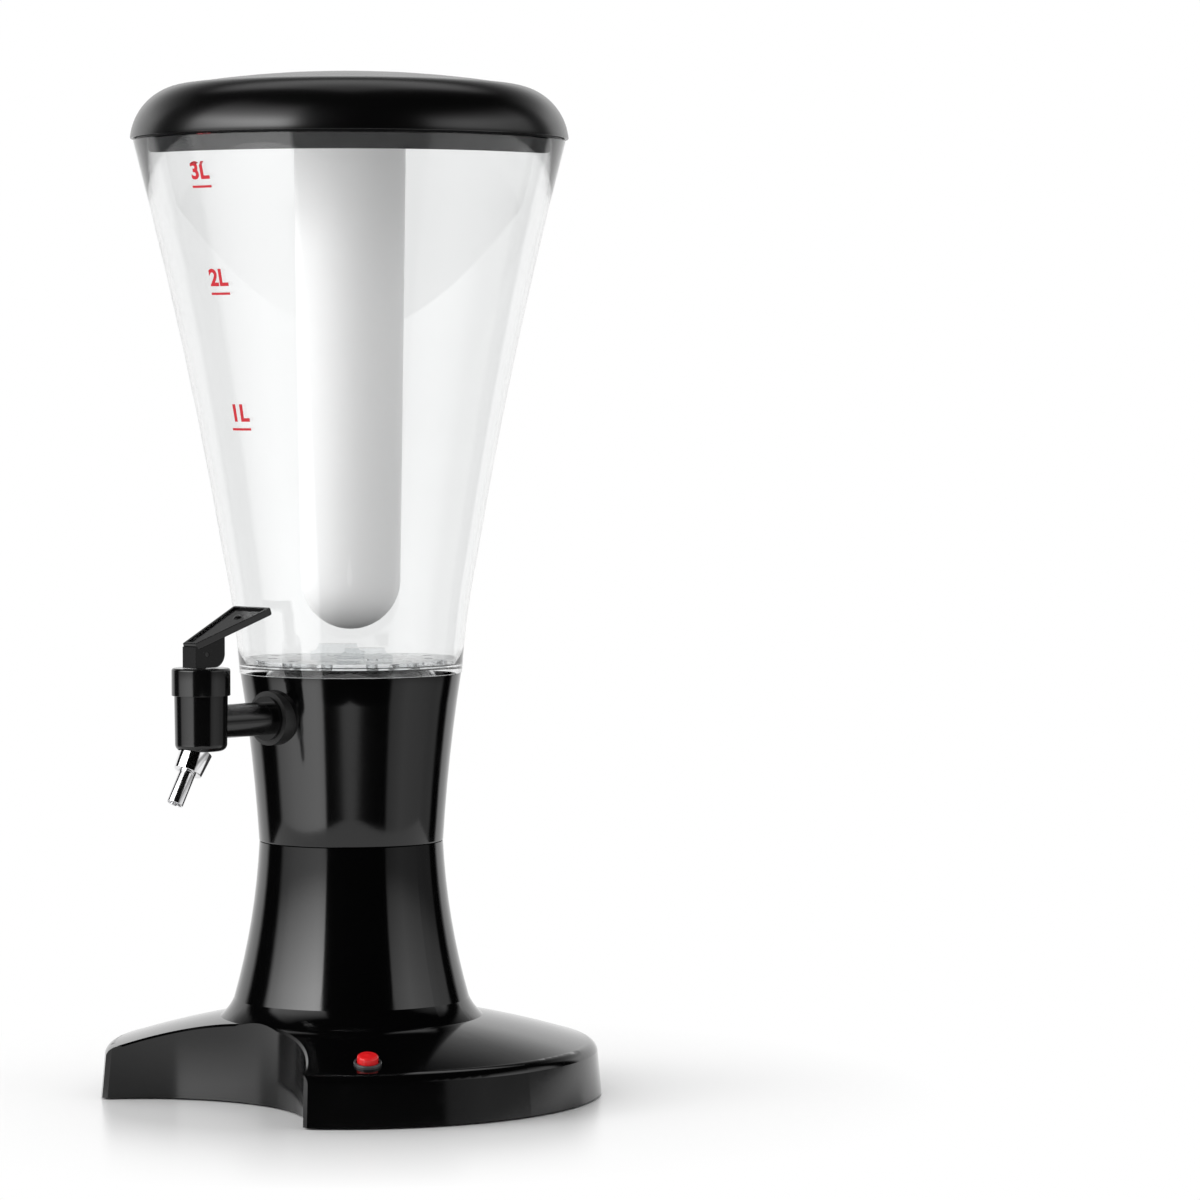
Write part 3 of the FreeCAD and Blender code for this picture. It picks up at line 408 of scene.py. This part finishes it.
def clear_guard(tree):
    """Clear moulded strainer with sinks and swirls in its thick places."""
    point = tree.object_point()
    swirl = tree.noise(point, 120.0, 3.0)
    tree.surface({
        "Base Color": tree.blend(swirl, (0.78, 0.8, 0.81, 1), (0.96, 0.97, 0.97, 1)),
        "Roughness": (swirl - 0.5).at_least(0.0) * 0.2,
        "IOR": 1.52,
        "Transmission Weight": 1.0,
        "Normal": tree.bump(swirl, 0.35, 0.0006),
    })


def frosted_tube(tree):
    """Frosted wall: milky, a little cloudy, with a soft sheen."""
    point = tree.object_point()
    cloud = tree.noise(tree.object_point(scale=(1, 1, 0.25)), 22.0, 3.0)
    frost = tree.noise(point, 1500.0, 2.0)
    tree.surface({
        "Base Color": tree.blend(cloud, (0.9, 0.9, 0.9, 1), (0.96, 0.96, 0.96, 1)),
        "Roughness": 0.42 + (cloud - 0.5) * 0.15,
        "IOR": 1.45,
        "Transmission Weight": settings().tube_clearness,
        "Normal": tree.bump(frost, 0.2, 0.00003),
    })


def red_mark(tree):
    """Printed red ink, thin at places."""
    point = tree.object_point()
    ink = tree.noise(point, 900.0, 3.0)
    red = settings().ink_red
    tree.surface({
        "Base Color": tree.blend(ink, opaque(red, 0.8), opaque(red, 1.15)),
        "Roughness": 0.45 + (ink - 0.5) * 0.2,
        "Normal": tree.bump(ink, 0.2, 0.00003),
    })


def red_button(tree):
    moulded_plastic(tree, settings().button_red, 0.22, 900.0, 0.00003)


def bezel_grey(tree):
    moulded_plastic(tree, (0.05, 0.05, 0.052), 0.2, 900.0, 0.00003)


def seal_rubber(tree):
    moulded_plastic(tree, (0.016, 0.016, 0.016), 0.42, 1800.0, 0.00006)


def inner_grey(tree):
    moulded_plastic(tree, (0.18, 0.18, 0.185), 0.4, 1200.0, 0.00004)


def inner_white(tree):
    moulded_plastic(tree, (0.72, 0.72, 0.7), 0.4, 1200.0, 0.00004)


def board_green(tree):
    """Printed board: green resist over faint copper runs."""
    point = tree.object_point()
    runs = tree.make("ShaderNodeTexBrick", {"offset": 0.5},
                     {"Vector": point, "Scale": 90.0, "Mortar Size": 0.06}, output="Fac")
    tree.surface({
        "Base Color": tree.blend(runs, (0.02, 0.13, 0.06, 1), (0.05, 0.22, 0.1, 1)),
        "Roughness": 0.35 + runs * 0.1,
        "Normal": tree.bump(runs, 0.3, 0.00005),
    })


def cell_wrap(tree):
    """Shrink sleeve of a cell with a plain band at one end."""
    along = tree.split(tree.object_point())[0]
    band = along.over(0.014)
    noise = tree.noise(tree.object_point(), 300.0)
    tree.surface({
        "Base Color": tree.blend(band, (0.03, 0.03, 0.035, 1), (0.55, 0.32, 0.12, 1)),
        "Roughness": 0.3 + (noise - 0.5) * 0.15,
        "Normal": tree.bump(noise, 0.2, 0.00005),
    })


def drawn_metal(tree, colour, roughness, stretch, polish):
    """Drawn or turned metal with fine lines along one way."""
    lines = tree.noise(tree.object_point(scale=stretch), 60.0, 4.0, 0.6)
    wear = tree.noise(tree.object_point(), 240.0, 4.0)
    tree.surface({
        "Base Color": tree.blend(wear, opaque(colour, 0.92), opaque(colour, 1.04)),
        "Metallic": 1.0,
        "Roughness": roughness + (lines - 0.5) * polish,
        "Normal": tree.bump(lines, 0.15, 0.00004),
    })


def polished_collar(tree):
    drawn_metal(tree, (0.86, 0.86, 0.87), 0.09, (40, 40, 1), 0.06)


def tube_steel(tree):
    drawn_metal(tree, (0.74, 0.74, 0.75), 0.16, (40, 40, 1), 0.1)


def plain_steel(tree):
    drawn_metal(tree, (0.6, 0.6, 0.61), 0.28, (8, 8, 8), 0.15)


RECIPES = {
    "gloss_black": gloss_black, "lid_black": lid_black, "satin_black": satin_black,
    "liner_black": liner_black, "clear_wall": clear_wall, "clear_guard": clear_guard,
    "frosted_tube": frosted_tube, "red_mark": red_mark, "red_button": red_button,
    "bezel_grey": bezel_grey, "seal_rubber": seal_rubber, "inner_grey": inner_grey,
    "inner_white": inner_white, "board_green": board_green, "cell_wrap": cell_wrap,
    "polished_collar": polished_collar, "tube_steel": tube_steel, "plain_steel": plain_steel,
}
NODE_FINISH = {
    "base_shell": "gloss_black", "upper_body": "gloss_black", "vessel": "clear_wall",
    "outlet_guard": "clear_guard", "lid_cover": "lid_black", "lid_liner": "liner_black",
    "ice_tube": "frosted_tube", "tap_body": "satin_black", "tap_outer_washer": "seal_rubber",
    "tap_inner_washer": "seal_rubber", "tap_nut": "inner_grey", "tap_cap": "satin_black",
    "valve_stem": "inner_white", "plunger_seal": "seal_rubber", "valve_spring": "plain_steel",
    "lever_pin": "seal_rubber", "tap_lever": "satin_black", "nozzle_collar": "polished_collar",
    "nozzle_tube": "tube_steel", "light_button": "red_button", "switch_bezel": "bezel_grey",
    "switch_body": "satin_black", "base_plate": "satin_black", "battery_door": "satin_black",
    "battery_cells": "cell_wrap", "battery_contacts": "plain_steel", "rubber_feet": "seal_rubber",
    "plate_screws": "plain_steel", "column_screws": "plain_steel", "light_board": "board_green",
    "light_lamps": "clear_guard", "board_screws": "plain_steel",
}


class BeerTowerSettings(bpy.types.PropertyGroup):
    """Colours and sizes that a user would change."""

    black: FloatVectorProperty(
        name="Gloss black", description="Colour of the base, column and lid",
        default=(0.0012, 0.0012, 0.0013), size=3, subtype="COLOR")
    tap_black: FloatVectorProperty(
        name="Tap black", description="Colour of the tap and its lever",
        default=(0.0025, 0.0025, 0.0026), size=3, subtype="COLOR")
    liner_black: FloatVectorProperty(
        name="Liner black", description="Colour of the tray under the lid",
        default=(0.004, 0.004, 0.0045), size=3, subtype="COLOR")
    ink_red: FloatVectorProperty(
        name="Ink red", description="Colour of the litre marks",
        default=(0.45, 0.004, 0.014), size=3, subtype="COLOR")
    button_red: FloatVectorProperty(
        name="Button red", description="Colour of the light button",
        default=(0.68, 0.012, 0.015), size=3, subtype="COLOR")
    vessel_wall: FloatProperty(
        name="Vessel wall", description="Thickness of the clear wall",
        default=0.0022, min=0.001, max=0.005, unit="LENGTH", precision=4)
    tube_wall: FloatProperty(
        name="Tube wall", description="Thickness of the frosted tube's wall",
        default=0.0018, min=0.001, max=0.004, unit="LENGTH", precision=4)
    mark_height: FloatProperty(
        name="Mark height", description="Height of a litre mark's figures",
        default=0.0084, min=0.004, max=0.02, unit="LENGTH", precision=4)
    clear_bend: FloatProperty(
        name="Clear wall index", description="Refractive index of the vessel",
        default=1.5, min=1.0, max=2.0)
    tube_clearness: FloatProperty(
        name="Tube clearness", description="Share of light that the frosted tube lets through",
        default=0.25, min=0.0, max=1.0, subtype="FACTOR")


def settings():
    return bpy.context.scene.beer_tower


# Modelling helpers


def only(thing):
    bpy.ops.object.select_all(action="DESELECT")
    thing.select_set(True)
    bpy.context.view_layer.objects.active = thing
    return thing


def swollen(start, end, swell, turn=math.radians(4)):
    """Points inside an arc whose middle stands off its chord, left of its way if positive."""
    start, end = Vector(start), Vector(end)
    along = (end - start).normalized()
    left = Vector((-along.y, along.x))
    chord = (end - start).length
    radius = chord * chord / (8 * swell) + swell / 2
    half = math.asin(chord / (2 * radius))
    centre = (start + end) / 2 + left * (swell - radius)
    count = max(6, math.ceil(abs(half) * 2 / turn))
    sweep = [half * (2 * k / count - 1) for k in range(1, count)]
    return [tuple(centre + (left * math.cos(a) + along * math.sin(a)) * radius) for a in sweep]


def traced(outline):
    """Points of an outline; a third number is the swell of the side that arrives there."""
    points = [outline[0][:2]]
    for step in outline[1:]:
        if len(step) == 3:
            points += swollen(points[-1], step[:2], step[2])
        points.append(step[:2])
    return [Vector((radius * MM, 0, height * MM)) for radius, height in points]


def lathe(outline, steps=SPIN_STEPS):
    """Turn half a section, in millimetres, about the vertical axis."""
    points = traced(outline)
    bpy.ops.object.select_all(action="DESELECT")
    bpy.ops.mesh.primitive_plane_add(size=MM)
    bpy.ops.object.mode_set(mode="EDIT")
    bpy.ops.mesh.select_all(action="SELECT")
    bpy.ops.mesh.merge(type="CENTER")
    bpy.ops.transform.translate(value=points[0])
    for start, end in zip(points, points[1:]):
        bpy.ops.mesh.extrude_region_move(TRANSFORM_OT_translate={"value": end - start})
    bpy.ops.mesh.select_all(action="SELECT")
    bpy.ops.mesh.spin(steps=steps, angle=2 * math.pi, center=(0, 0, 0), axis=(0, 0, 1))
    close_and_face_out()
    return bpy.context.object


def close_and_face_out():
    """Merge seams and poles, then turn every face outward."""
    bpy.ops.mesh.select_all(action="SELECT")
    bpy.ops.mesh.remove_doubles(threshold=WELD * MM)
    bpy.ops.mesh.normals_make_consistent(inside=False)
    bpy.ops.object.mode_set(mode="OBJECT")


def ease_edges(thing, width, segments=3):
    """Round the sharp edges of a moulding by a width in millimetres."""
    only(thing)
    ease = thing.modifiers.new("ease", "BEVEL")
    ease.width = width * MM
    ease.segments = segments
    ease.limit_method = "ANGLE"
    ease.angle_limit = SHARP
    bpy.ops.object.modifier_apply(modifier=ease.name)
    return thing


def settle(thing, name, finish, body, node=None):
    """Name a finished piece, smooth it, give it its finish and body, and hide the node it stands
    in for, if any.
    """
    only(thing)
    thing.name = name
    bpy.ops.object.transform_apply(location=True, rotation=True, scale=True)
    bpy.ops.object.shade_smooth_by_angle(angle=SHARP)
    thing.data.materials.clear()
    thing.data.materials.append(material(finish))
    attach(thing, body)
    if node:
        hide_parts(node)
    return thing


def stand_on(thing, place, turn):
    """Move a piece that was made about the origin to its own axis."""
    thing.matrix_world = Matrix.Translation(place) @ turn
    return thing


class BEERTOWER_OT_vessel(bpy.types.Operator):
    """Turn the clear vessel with its floor flange and sump"""
    bl_idname = "beertower.vessel"
    bl_label = "Clear vessel"

    def execute(self, context):
        wall = settings().vessel_wall / MM
        made = lathe([
            (0, SUMP_BOTTOM), (SUMP_RADIUS, SUMP_BOTTOM), (SUMP_RADIUS, COLUMN_TOP),
            (VESSEL_FOOT, COLUMN_TOP), (VESSEL_FOOT + FOOT_DRAFT, FLOOR),
            (VESSEL_WAIST, WAIST_HEIGHT, WAIST_HOLLOW),
            (VESSEL_MOUTH, MOUTH_HEIGHT, MOUTH_HOLLOW),
            (VESSEL_MOUTH - wall, MOUTH_HEIGHT),
            (VESSEL_WAIST - wall, WAIST_HEIGHT, -MOUTH_HOLLOW),
            (VESSEL_FOOT + FOOT_DRAFT * 2 - wall, FLOOR, -WAIST_HOLLOW),
            (GUARD_SEAT, FLOOR), (GUARD_SEAT, FLOOR - GUARD_DEPTH),
            (SUMP_RADIUS - SUMP_WALL, FLOOR - GUARD_DEPTH),
            (SUMP_RADIUS - SUMP_WALL, SUMP_BOTTOM + SUMP_WALL), (0, SUMP_BOTTOM + SUMP_WALL),
        ])
        ease_edges(made, 0.35)
        settle(made, "clear_vessel", "clear_wall", "tower", "vessel")
        made.visible_diffuse = False
        made.visible_shadow = False
        return {"FINISHED"}


class BEERTOWER_OT_lid(bpy.types.Operator):
    """Turn the domed lid, the tray under it and the frosted ice tube"""
    bl_idname = "beertower.lid"
    bl_label = "Lid and ice tube"

    def execute(self, context):
        dome = lathe([
            (0, LID_TOP - LID_WALL), (0, LID_TOP), (LID_SHOULDER, LID_SHOULDER_HEIGHT, DOME_SWELL),
            (LID_RADIUS, LID_RIM, LID_SIDE_SWELL), (LID_RADIUS - LID_WALL, LID_RIM),
            (LID_RADIUS - LID_WALL, LINER_TOP), (LID_RADIUS - LID_WALL * 2, LINER_TOP),
            (LID_SHOULDER, LID_SHOULDER_HEIGHT - LID_WALL, -LID_INNER_SWELL),
            (0, LID_TOP - LID_WALL, -DOME_SWELL),
        ])
        ease_edges(dome, 0.5)
        settle(dome, "domed_lid", "lid_black", "lid", "lid_cover")
        ledge = LID_RADIUS - LID_WALL - CLEARANCE
        hole = TUBE_RADIUS + CLEARANCE
        tray = lathe([
            (hole, LINER_BOTTOM), (LINER_RADIUS, LINER_BOTTOM),
            (LINER_RADIUS, MOUTH_HEIGHT), (ledge, MOUTH_HEIGHT), (ledge, LINER_TOP),
            (LINER_RADIUS - LINER_WALL, LINER_TOP),
            (LINER_RADIUS - LINER_WALL, LINER_BOTTOM + LINER_WALL),
            (COLLAR_RADIUS + LINER_WALL, LINER_BOTTOM + LINER_WALL),
            (COLLAR_RADIUS + LINER_WALL, LINER_BOTTOM + COLLAR_HEIGHT),
            (COLLAR_RADIUS, LINER_BOTTOM + COLLAR_HEIGHT),
            (COLLAR_RADIUS, LINER_BOTTOM + LINER_WALL),
            (hole, LINER_BOTTOM + LINER_WALL), (hole, LINER_BOTTOM),
        ])
        ease_edges(tray, 0.5)
        settle(tray, "lid_tray", "liner_black", "lid", "lid_liner")
        wall = settings().tube_wall / MM
        top = LINER_BOTTOM + LINER_WALL
        tip = TUBE_BOTTOM + TUBE_TIP_RADIUS
        inner = TUBE_TIP_RADIUS - wall
        tube = lathe([
            (0, TUBE_BOTTOM), (TUBE_TIP_RADIUS, tip, -TUBE_TIP_RADIUS * QUARTER_SWELL),
            (TUBE_RADIUS, top), (TUBE_RADIUS + TUBE_FLANGE, top),
            (TUBE_RADIUS + TUBE_FLANGE, top + TUBE_FLANGE_THICKNESS),
            (TUBE_RADIUS - wall, top + TUBE_FLANGE_THICKNESS), (inner, tip),
            (0, TUBE_BOTTOM + wall, inner * QUARTER_SWELL),
        ])
        settle(ease_edges(tube, 0.3), "frosted_tube", "frosted_tube", "lid", "ice_tube")
        return {"FINISHED"}


class BEERTOWER_OT_column(bpy.types.Operator):
    """Turn the column between the base and the vessel"""
    bl_idname = "beertower.column"
    bl_label = "Column"

    def execute(self, context):
        column = lathe([
            (LEAD_HOLE, SEAM_HEIGHT), (COLUMN_FOOT - SEAM_EASE, SEAM_HEIGHT),
            (COLUMN_FOOT, SEAM_HEIGHT + SEAM_EASE), (COLUMN_RADIUS, COLUMN_TOP, COLUMN_HOLLOW),
            (COLUMN_RADIUS - COLUMN_WALL, COLUMN_TOP),
            (COLUMN_FOOT - COLUMN_WALL, SEAM_HEIGHT + COLUMN_WALL, -COLUMN_HOLLOW),
            (LEAD_HOLE, SEAM_HEIGHT + COLUMN_WALL), (LEAD_HOLE, SEAM_HEIGHT),
        ])
        settle(ease_edges(column, 0.3), "column_shell", "gloss_black", "tower", "upper_body")
        return {"FINISHED"}


class BEERTOWER_OT_tap(bpy.types.Operator):
    """Turn the tap's cap, the polished collar and the steel tube"""
    bl_idname = "beertower.tap"
    bl_label = "Tap trim"

    def execute(self, context):
        upright = Matrix.Identity(4)
        lean = Matrix.Rotation(math.pi - NOZZLE_TILT, 4, "X")
        pivot = Vector((0, -TAP_REACH, NOZZLE_PIVOT)) * MM
        down = lean @ Vector((0, 0, MM))
        spigot = BARREL_TOP - CAP_SPIGOT
        cap = lathe([
            (STEM_WAY, spigot), (BARREL_BORE, spigot), (BARREL_BORE, BARREL_TOP),
            (CAP_RADIUS, BARREL_TOP), (CAP_RADIUS, CAP_TOP - CAP_ROUND),
            (CAP_RADIUS - CAP_ROUND, CAP_TOP, -CAP_ROUND * QUARTER_SWELL), (STEM_WAY, CAP_TOP),
            (STEM_WAY, spigot),
        ], SMALL_STEPS)
        ease_edges(cap, 0.2)
        stand_on(cap, Vector((0, -TAP_REACH * MM, 0)), upright)
        settle(cap, "barrel_cap", "satin_black", "tower", "tap_cap")
        collar = lathe([
            (TUBE_WAY, 0), (COLLAR_TOP, 0), (COLLAR_TIP, COLLAR_LENGTH), (TUBE_WAY, COLLAR_LENGTH),
            (TUBE_WAY, 0),
        ], SMALL_STEPS)
        ease_edges(collar, 0.25)
        stand_on(collar, pivot + down * COLLAR_START, lean)
        settle(collar, "polished_collar", "polished_collar", "tower", "nozzle_collar")
        spout = lathe([
            (SPOUT_BORE, 0), (SPOUT_RADIUS, 0), (SPOUT_RADIUS, SPOUT_LENGTH),
            (SPOUT_BORE, SPOUT_LENGTH), (SPOUT_BORE, 0),
        ], SMALL_STEPS)
        ease_edges(spout, 0.15)
        stand_on(spout, pivot + down * SPOUT_START, lean)
        settle(spout, "steel_spout", "tube_steel", "tower", "nozzle_tube")
        return {"FINISHED"}


class BEERTOWER_OT_marks(bpy.types.Operator):
    """Print the litre marks, each a number with a line under it, on the vessel"""
    bl_idname = "beertower.marks"
    bl_label = "Litre marks"

    def execute(self, context):
        for litres, height in MARKS:
            self.mark(litres, height)
        return {"FINISHED"}

    @staticmethod
    def mark(litres, height):
        size = settings().mark_height
        lean = Matrix.Rotation(math.pi / 2 + MARK_LEAN, 4, "X")
        around = Matrix.Rotation(MARK_BEARING, 4, "Z")
        climb = (height - WAIST_HEIGHT) / (MOUTH_HEIGHT - WAIST_HEIGHT)
        radius = VESSEL_WAIST + (VESSEL_MOUTH - VESSEL_WAIST) * climb
        place = bearing_vector(MARK_BEARING) * radius * MM + Vector((0, 0, height * MM))
        bpy.ops.object.select_all(action="DESELECT")
        bpy.ops.object.text_add()
        figure = bpy.context.object
        figure.data.body = "%dL" % litres
        figure.data.size = size * FIGURE_SCALE
        figure.data.offset = size * FIGURE_WEIGHT
        figure.data.space_character = FIGURE_SPACING
        figure.data.align_x = "CENTER"
        figure.data.align_y = "CENTER"
        bpy.ops.object.convert(target="MESH")
        bpy.ops.object.mode_set(mode="EDIT")
        bpy.ops.mesh.select_all(action="DESELECT")
        bpy.ops.mesh.primitive_plane_add(size=1)
        bpy.ops.transform.resize(value=(size * LINE_LENGTH, size * LINE_WEIGHT, 1))
        bpy.ops.transform.translate(value=(0, -size * LINE_DROP, 0))
        bpy.ops.mesh.select_all(action="SELECT")
        bpy.ops.mesh.remove_doubles(threshold=WELD * MM)
        bpy.ops.mesh.quads_convert_to_tris()
        bpy.ops.mesh.subdivide(number_cuts=LINE_CUTS)
        bpy.ops.object.mode_set(mode="OBJECT")
        stand_on(figure, place, around @ lean)
        only(figure)
        bpy.ops.object.transform_apply(location=True, rotation=True, scale=True)
        wrap = figure.modifiers.new("wrap", "SHRINKWRAP")
        wrap.target = bpy.data.objects["clear_vessel"]
        wrap.wrap_method = "NEAREST_SURFACEPOINT"
        wrap.wrap_mode = "ABOVE_SURFACE"
        wrap.offset = INK_LIFT * MM
        bpy.ops.object.modifier_apply(modifier=wrap.name)
        thick = figure.modifiers.new("ink", "SOLIDIFY")
        thick.thickness = INK_LIFT * MM
        thick.offset = 1
        bpy.ops.object.modifier_apply(modifier=thick.name)
        settle(figure, "litre_mark_%d" % litres, "red_mark", "tower")


class BEERTOWER_OT_switch(bpy.types.Operator):
    """Turn the red button and the ring round it, square to the deck"""
    bl_idname = "beertower.switch"
    bl_label = "Light switch"

    def execute(self, context):
        turn = Matrix.Rotation(BUTTON_BEARING, 4, "Z") @ Matrix.Rotation(BUTTON_TILT, 4, "X")
        deck = Vector((0, 0, DECK_AT_BUTTON))
        place = (bearing_vector(BUTTON_BEARING) * BUTTON_RING + deck) * MM
        ring = lathe([
            (BUTTON_WAY, 0), (SWITCH_RADIUS, 0), (SWITCH_RADIUS, -BEZEL_DEPTH),
            (BEZEL_RADIUS, -BEZEL_DEPTH),
            (BEZEL_RADIUS, BEZEL_RISE - BEZEL_ROUND),
            (BEZEL_RADIUS - BEZEL_ROUND, BEZEL_RISE, -BEZEL_ROUND * QUARTER_SWELL),
            (BUTTON_WAY, BEZEL_RISE), (BUTTON_WAY, 0),
        ], SMALL_STEPS)
        ease_edges(ring, 0.12)
        stand_on(ring, place, turn)
        settle(ring, "button_ring", "bezel_grey", "tower", "switch_bezel")
        button = lathe([
            (0, -BUTTON_DEPTH), (BUTTON_RADIUS, -BUTTON_DEPTH),
            (BUTTON_RADIUS, BUTTON_RISE - BUTTON_ROUND),
            (BUTTON_RADIUS - BUTTON_ROUND, BUTTON_RISE, -BUTTON_ROUND * QUARTER_SWELL),
            (0, BUTTON_RISE + BUTTON_CROWN, BUTTON_CROWN / 4),
        ], SMALL_STEPS)
        stand_on(button, place, turn)
        settle(button, "red_button", "red_button", "button", "light_button")
        return {"FINISHED"}


class BEERTOWER_OT_finishes(bpy.types.Operator):
    """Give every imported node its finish"""
    bl_idname = "beertower.finishes"
    bl_label = "Node finishes"

    def execute(self, context):
        for node, finish in NODE_FINISH.items():
            thing = NODES[node]
            thing.data.materials.clear()
            thing.data.materials.append(material(finish))
        return {"FINISHED"}


class BEERTOWER_OT_stage(bpy.types.Operator):
    """Add the floor, the soft lamps, the world and the camera"""
    bl_idname = "beertower.stage"
    bl_label = "Stage"

    def execute(self, context):
        bpy.ops.object.select_all(action="DESELECT")
        bpy.ops.mesh.primitive_plane_add(size=FLOOR_SIZE, location=(0, 0, 0))
        floor = bpy.context.object
        floor.name = "floor"
        made = bpy.data.materials.new("pale_floor")
        pale_floor(Tree(made))
        floor.data.materials.append(made)
        studio_world()
        for lamp in LAMPS:
            add_lamp(*lamp)
        add_camera()
        context.scene.view_settings.view_transform = "Standard"
        return {"FINISHED"}


def pale_floor(tree):
    """White floor with a soft mirror in its lacquer, plain white far from the tower."""
    point = tree.object_point()
    speck = tree.noise(point, 40.0, 3.0)
    x, y, z = tree.split(point)
    away = ((x * x + y * y) ** 0.5 - FADE_START) / (FADE_END - FADE_START)
    body = tree.make("ShaderNodeBsdfDiffuse", {}, {"Color": (0.97, 0.97, 0.97, 1.0)})
    lacquer = tree.make("ShaderNodeBsdfGlossy", {},
                        {"Color": (1.0, 1.0, 1.0, 1.0), "Roughness": 0.24 + speck * 0.02})
    mixed = tree.make("ShaderNodeMixShader", {}, {0: 0.4, 1: body, 2: lacquer})
    white = tree.make("ShaderNodeEmission", {}, {"Color": (1.0, 1.0, 1.0, 1.0), "Strength": 1.0})
    tree.finish(tree.make("ShaderNodeMixShader", {},
                          {0: away.at_least(0.0).at_most(1.0), 1: mixed, 2: white}))


def card(tree, around, height, bearings, heights):
    """One card of the studio: its light by bearing from the camera, times that by height."""
    def light(place, stops):
        ramp = tree.ramp(place, [(at, (value / CARD_GAIN,) * 3 + (1.0,)) for at, value in stops])
        return tree.make("ShaderNodeSeparateColor", {}, {"Color": ramp}, output="Red") * CARD_GAIN

    along = light(around, [(degrees / 360.0 + 0.5, value) for degrees, value in bearings])
    return along * light(height / 2 + 0.5, [(at / 2 + 0.5, value) for at, value in heights])


def studio_world():
    """Soft even light for the finishes, and a studio of soft cards for the gloss to show."""
    world = bpy.data.worlds.new("studio")
    bpy.context.scene.world = world
    tree = Tree(world)
    way = tree.make("ShaderNodeTexCoord", output="Generated")
    x, y, z = tree.split(way)
    front = x * math.sin(FRONT_BEARING) - y * math.cos(FRONT_BEARING)
    right = x * math.cos(FRONT_BEARING) + y * math.sin(FRONT_BEARING)
    turn = tree.make("ShaderNodeMath", {"operation": "ARCTAN2"}, {0: right, 1: front})
    around = turn / (2 * math.pi) + 0.5

    reflected = sum((card(tree, around, z, *shape) for shape in CARDS), 0.0)
    path = tree.make("ShaderNodeLightPath")
    rays = path.output.node.outputs
    through = Socket(tree, rays["Is Transmission Ray"])
    glossy = Socket(tree, rays["Is Glossy Ray"]) * (1.0 - through)
    seen = Socket(tree, rays["Is Camera Ray"])
    soft = card(tree, around, z, *SOFT_LIGHT)
    level = glossy * reflected + (1.0 - glossy) * (seen + (1.0 - seen) * soft)
    ground = tree.make("ShaderNodeBackground", {}, {"Color": (1, 1, 1, 1), "Strength": level})
    tree.finish(ground, "ShaderNodeOutputWorld")


def add_lamp(name, bearing, lift, distance, width, height, power):
    way = bearing_vector(math.radians(bearing), math.radians(lift))
    bpy.ops.object.light_add(type="AREA", location=AIM + way * distance)
    lamp = bpy.context.object
    lamp.name = name
    lamp.data.shape = "RECTANGLE"
    lamp.data.size = width
    lamp.data.size_y = height
    lamp.data.energy = power
    lamp.visible_glossy = False
    lamp.visible_transmission = False
    lamp.rotation_euler = (-way).to_track_quat("-Z", "Y").to_euler()


def add_camera():
    """The photograph's long lens, aimed so that the axis and the horizon fall right."""
    focal = LENS / SENSOR * FRAME_PIXELS
    yaw = math.atan((FRAME_PIXELS / 2 - AXIS_COLUMN) / focal)
    pitch = math.atan((FRAME_PIXELS / 2 - HORIZON_ROW) / focal)
    way = bearing_vector(FRONT_BEARING)
    look = Matrix.Rotation(-yaw, 3, "Z") @ (-way)
    look.z = -math.tan(pitch)
    bpy.ops.object.camera_add(location=way * EYE_DISTANCE + Vector((0, 0, EYE_HEIGHT)))
    camera = bpy.context.object
    camera.name = "camera"
    camera.rotation_euler = look.to_track_quat("-Z", "Y").to_euler()
    camera.data.lens = LENS
    camera.data.sensor_width = SENSOR
    camera.data.clip_end = 100.0
    bpy.context.scene.camera = camera


class BEERTOWER_PT_panel(bpy.types.Panel):
    """Sizes, colours and steps of the tower"""
    bl_idname = "BEERTOWER_PT_panel"
    bl_label = "Beer tower"
    bl_space_type = "VIEW_3D"
    bl_region_type = "UI"
    bl_category = "Beer Tower"

    def draw(self, context):
        for name in BeerTowerSettings.__annotations__:
            self.layout.prop(context.scene.beer_tower, name)
        for step in STEPS:
            self.layout.operator(step.bl_idname)


STEPS = (BEERTOWER_OT_finishes, BEERTOWER_OT_column, BEERTOWER_OT_vessel, BEERTOWER_OT_lid,
         BEERTOWER_OT_tap, BEERTOWER_OT_switch, BEERTOWER_OT_marks, BEERTOWER_OT_stage)
CLASSES = (BeerTowerSettings,) + STEPS + (BEERTOWER_PT_panel,)


def register():
    for thing in CLASSES:
        bpy.utils.register_class(thing)
    bpy.types.Scene.beer_tower = PointerProperty(type=BeerTowerSettings)


def unregister():
    del bpy.types.Scene.beer_tower
    for thing in reversed(CLASSES):
        bpy.utils.unregister_class(thing)


def main():
    register()
    for step in STEPS:
        family, name = step.bl_idname.split(".")
        getattr(getattr(bpy.ops, family), name)()


if __name__ == "__main__":
    main()
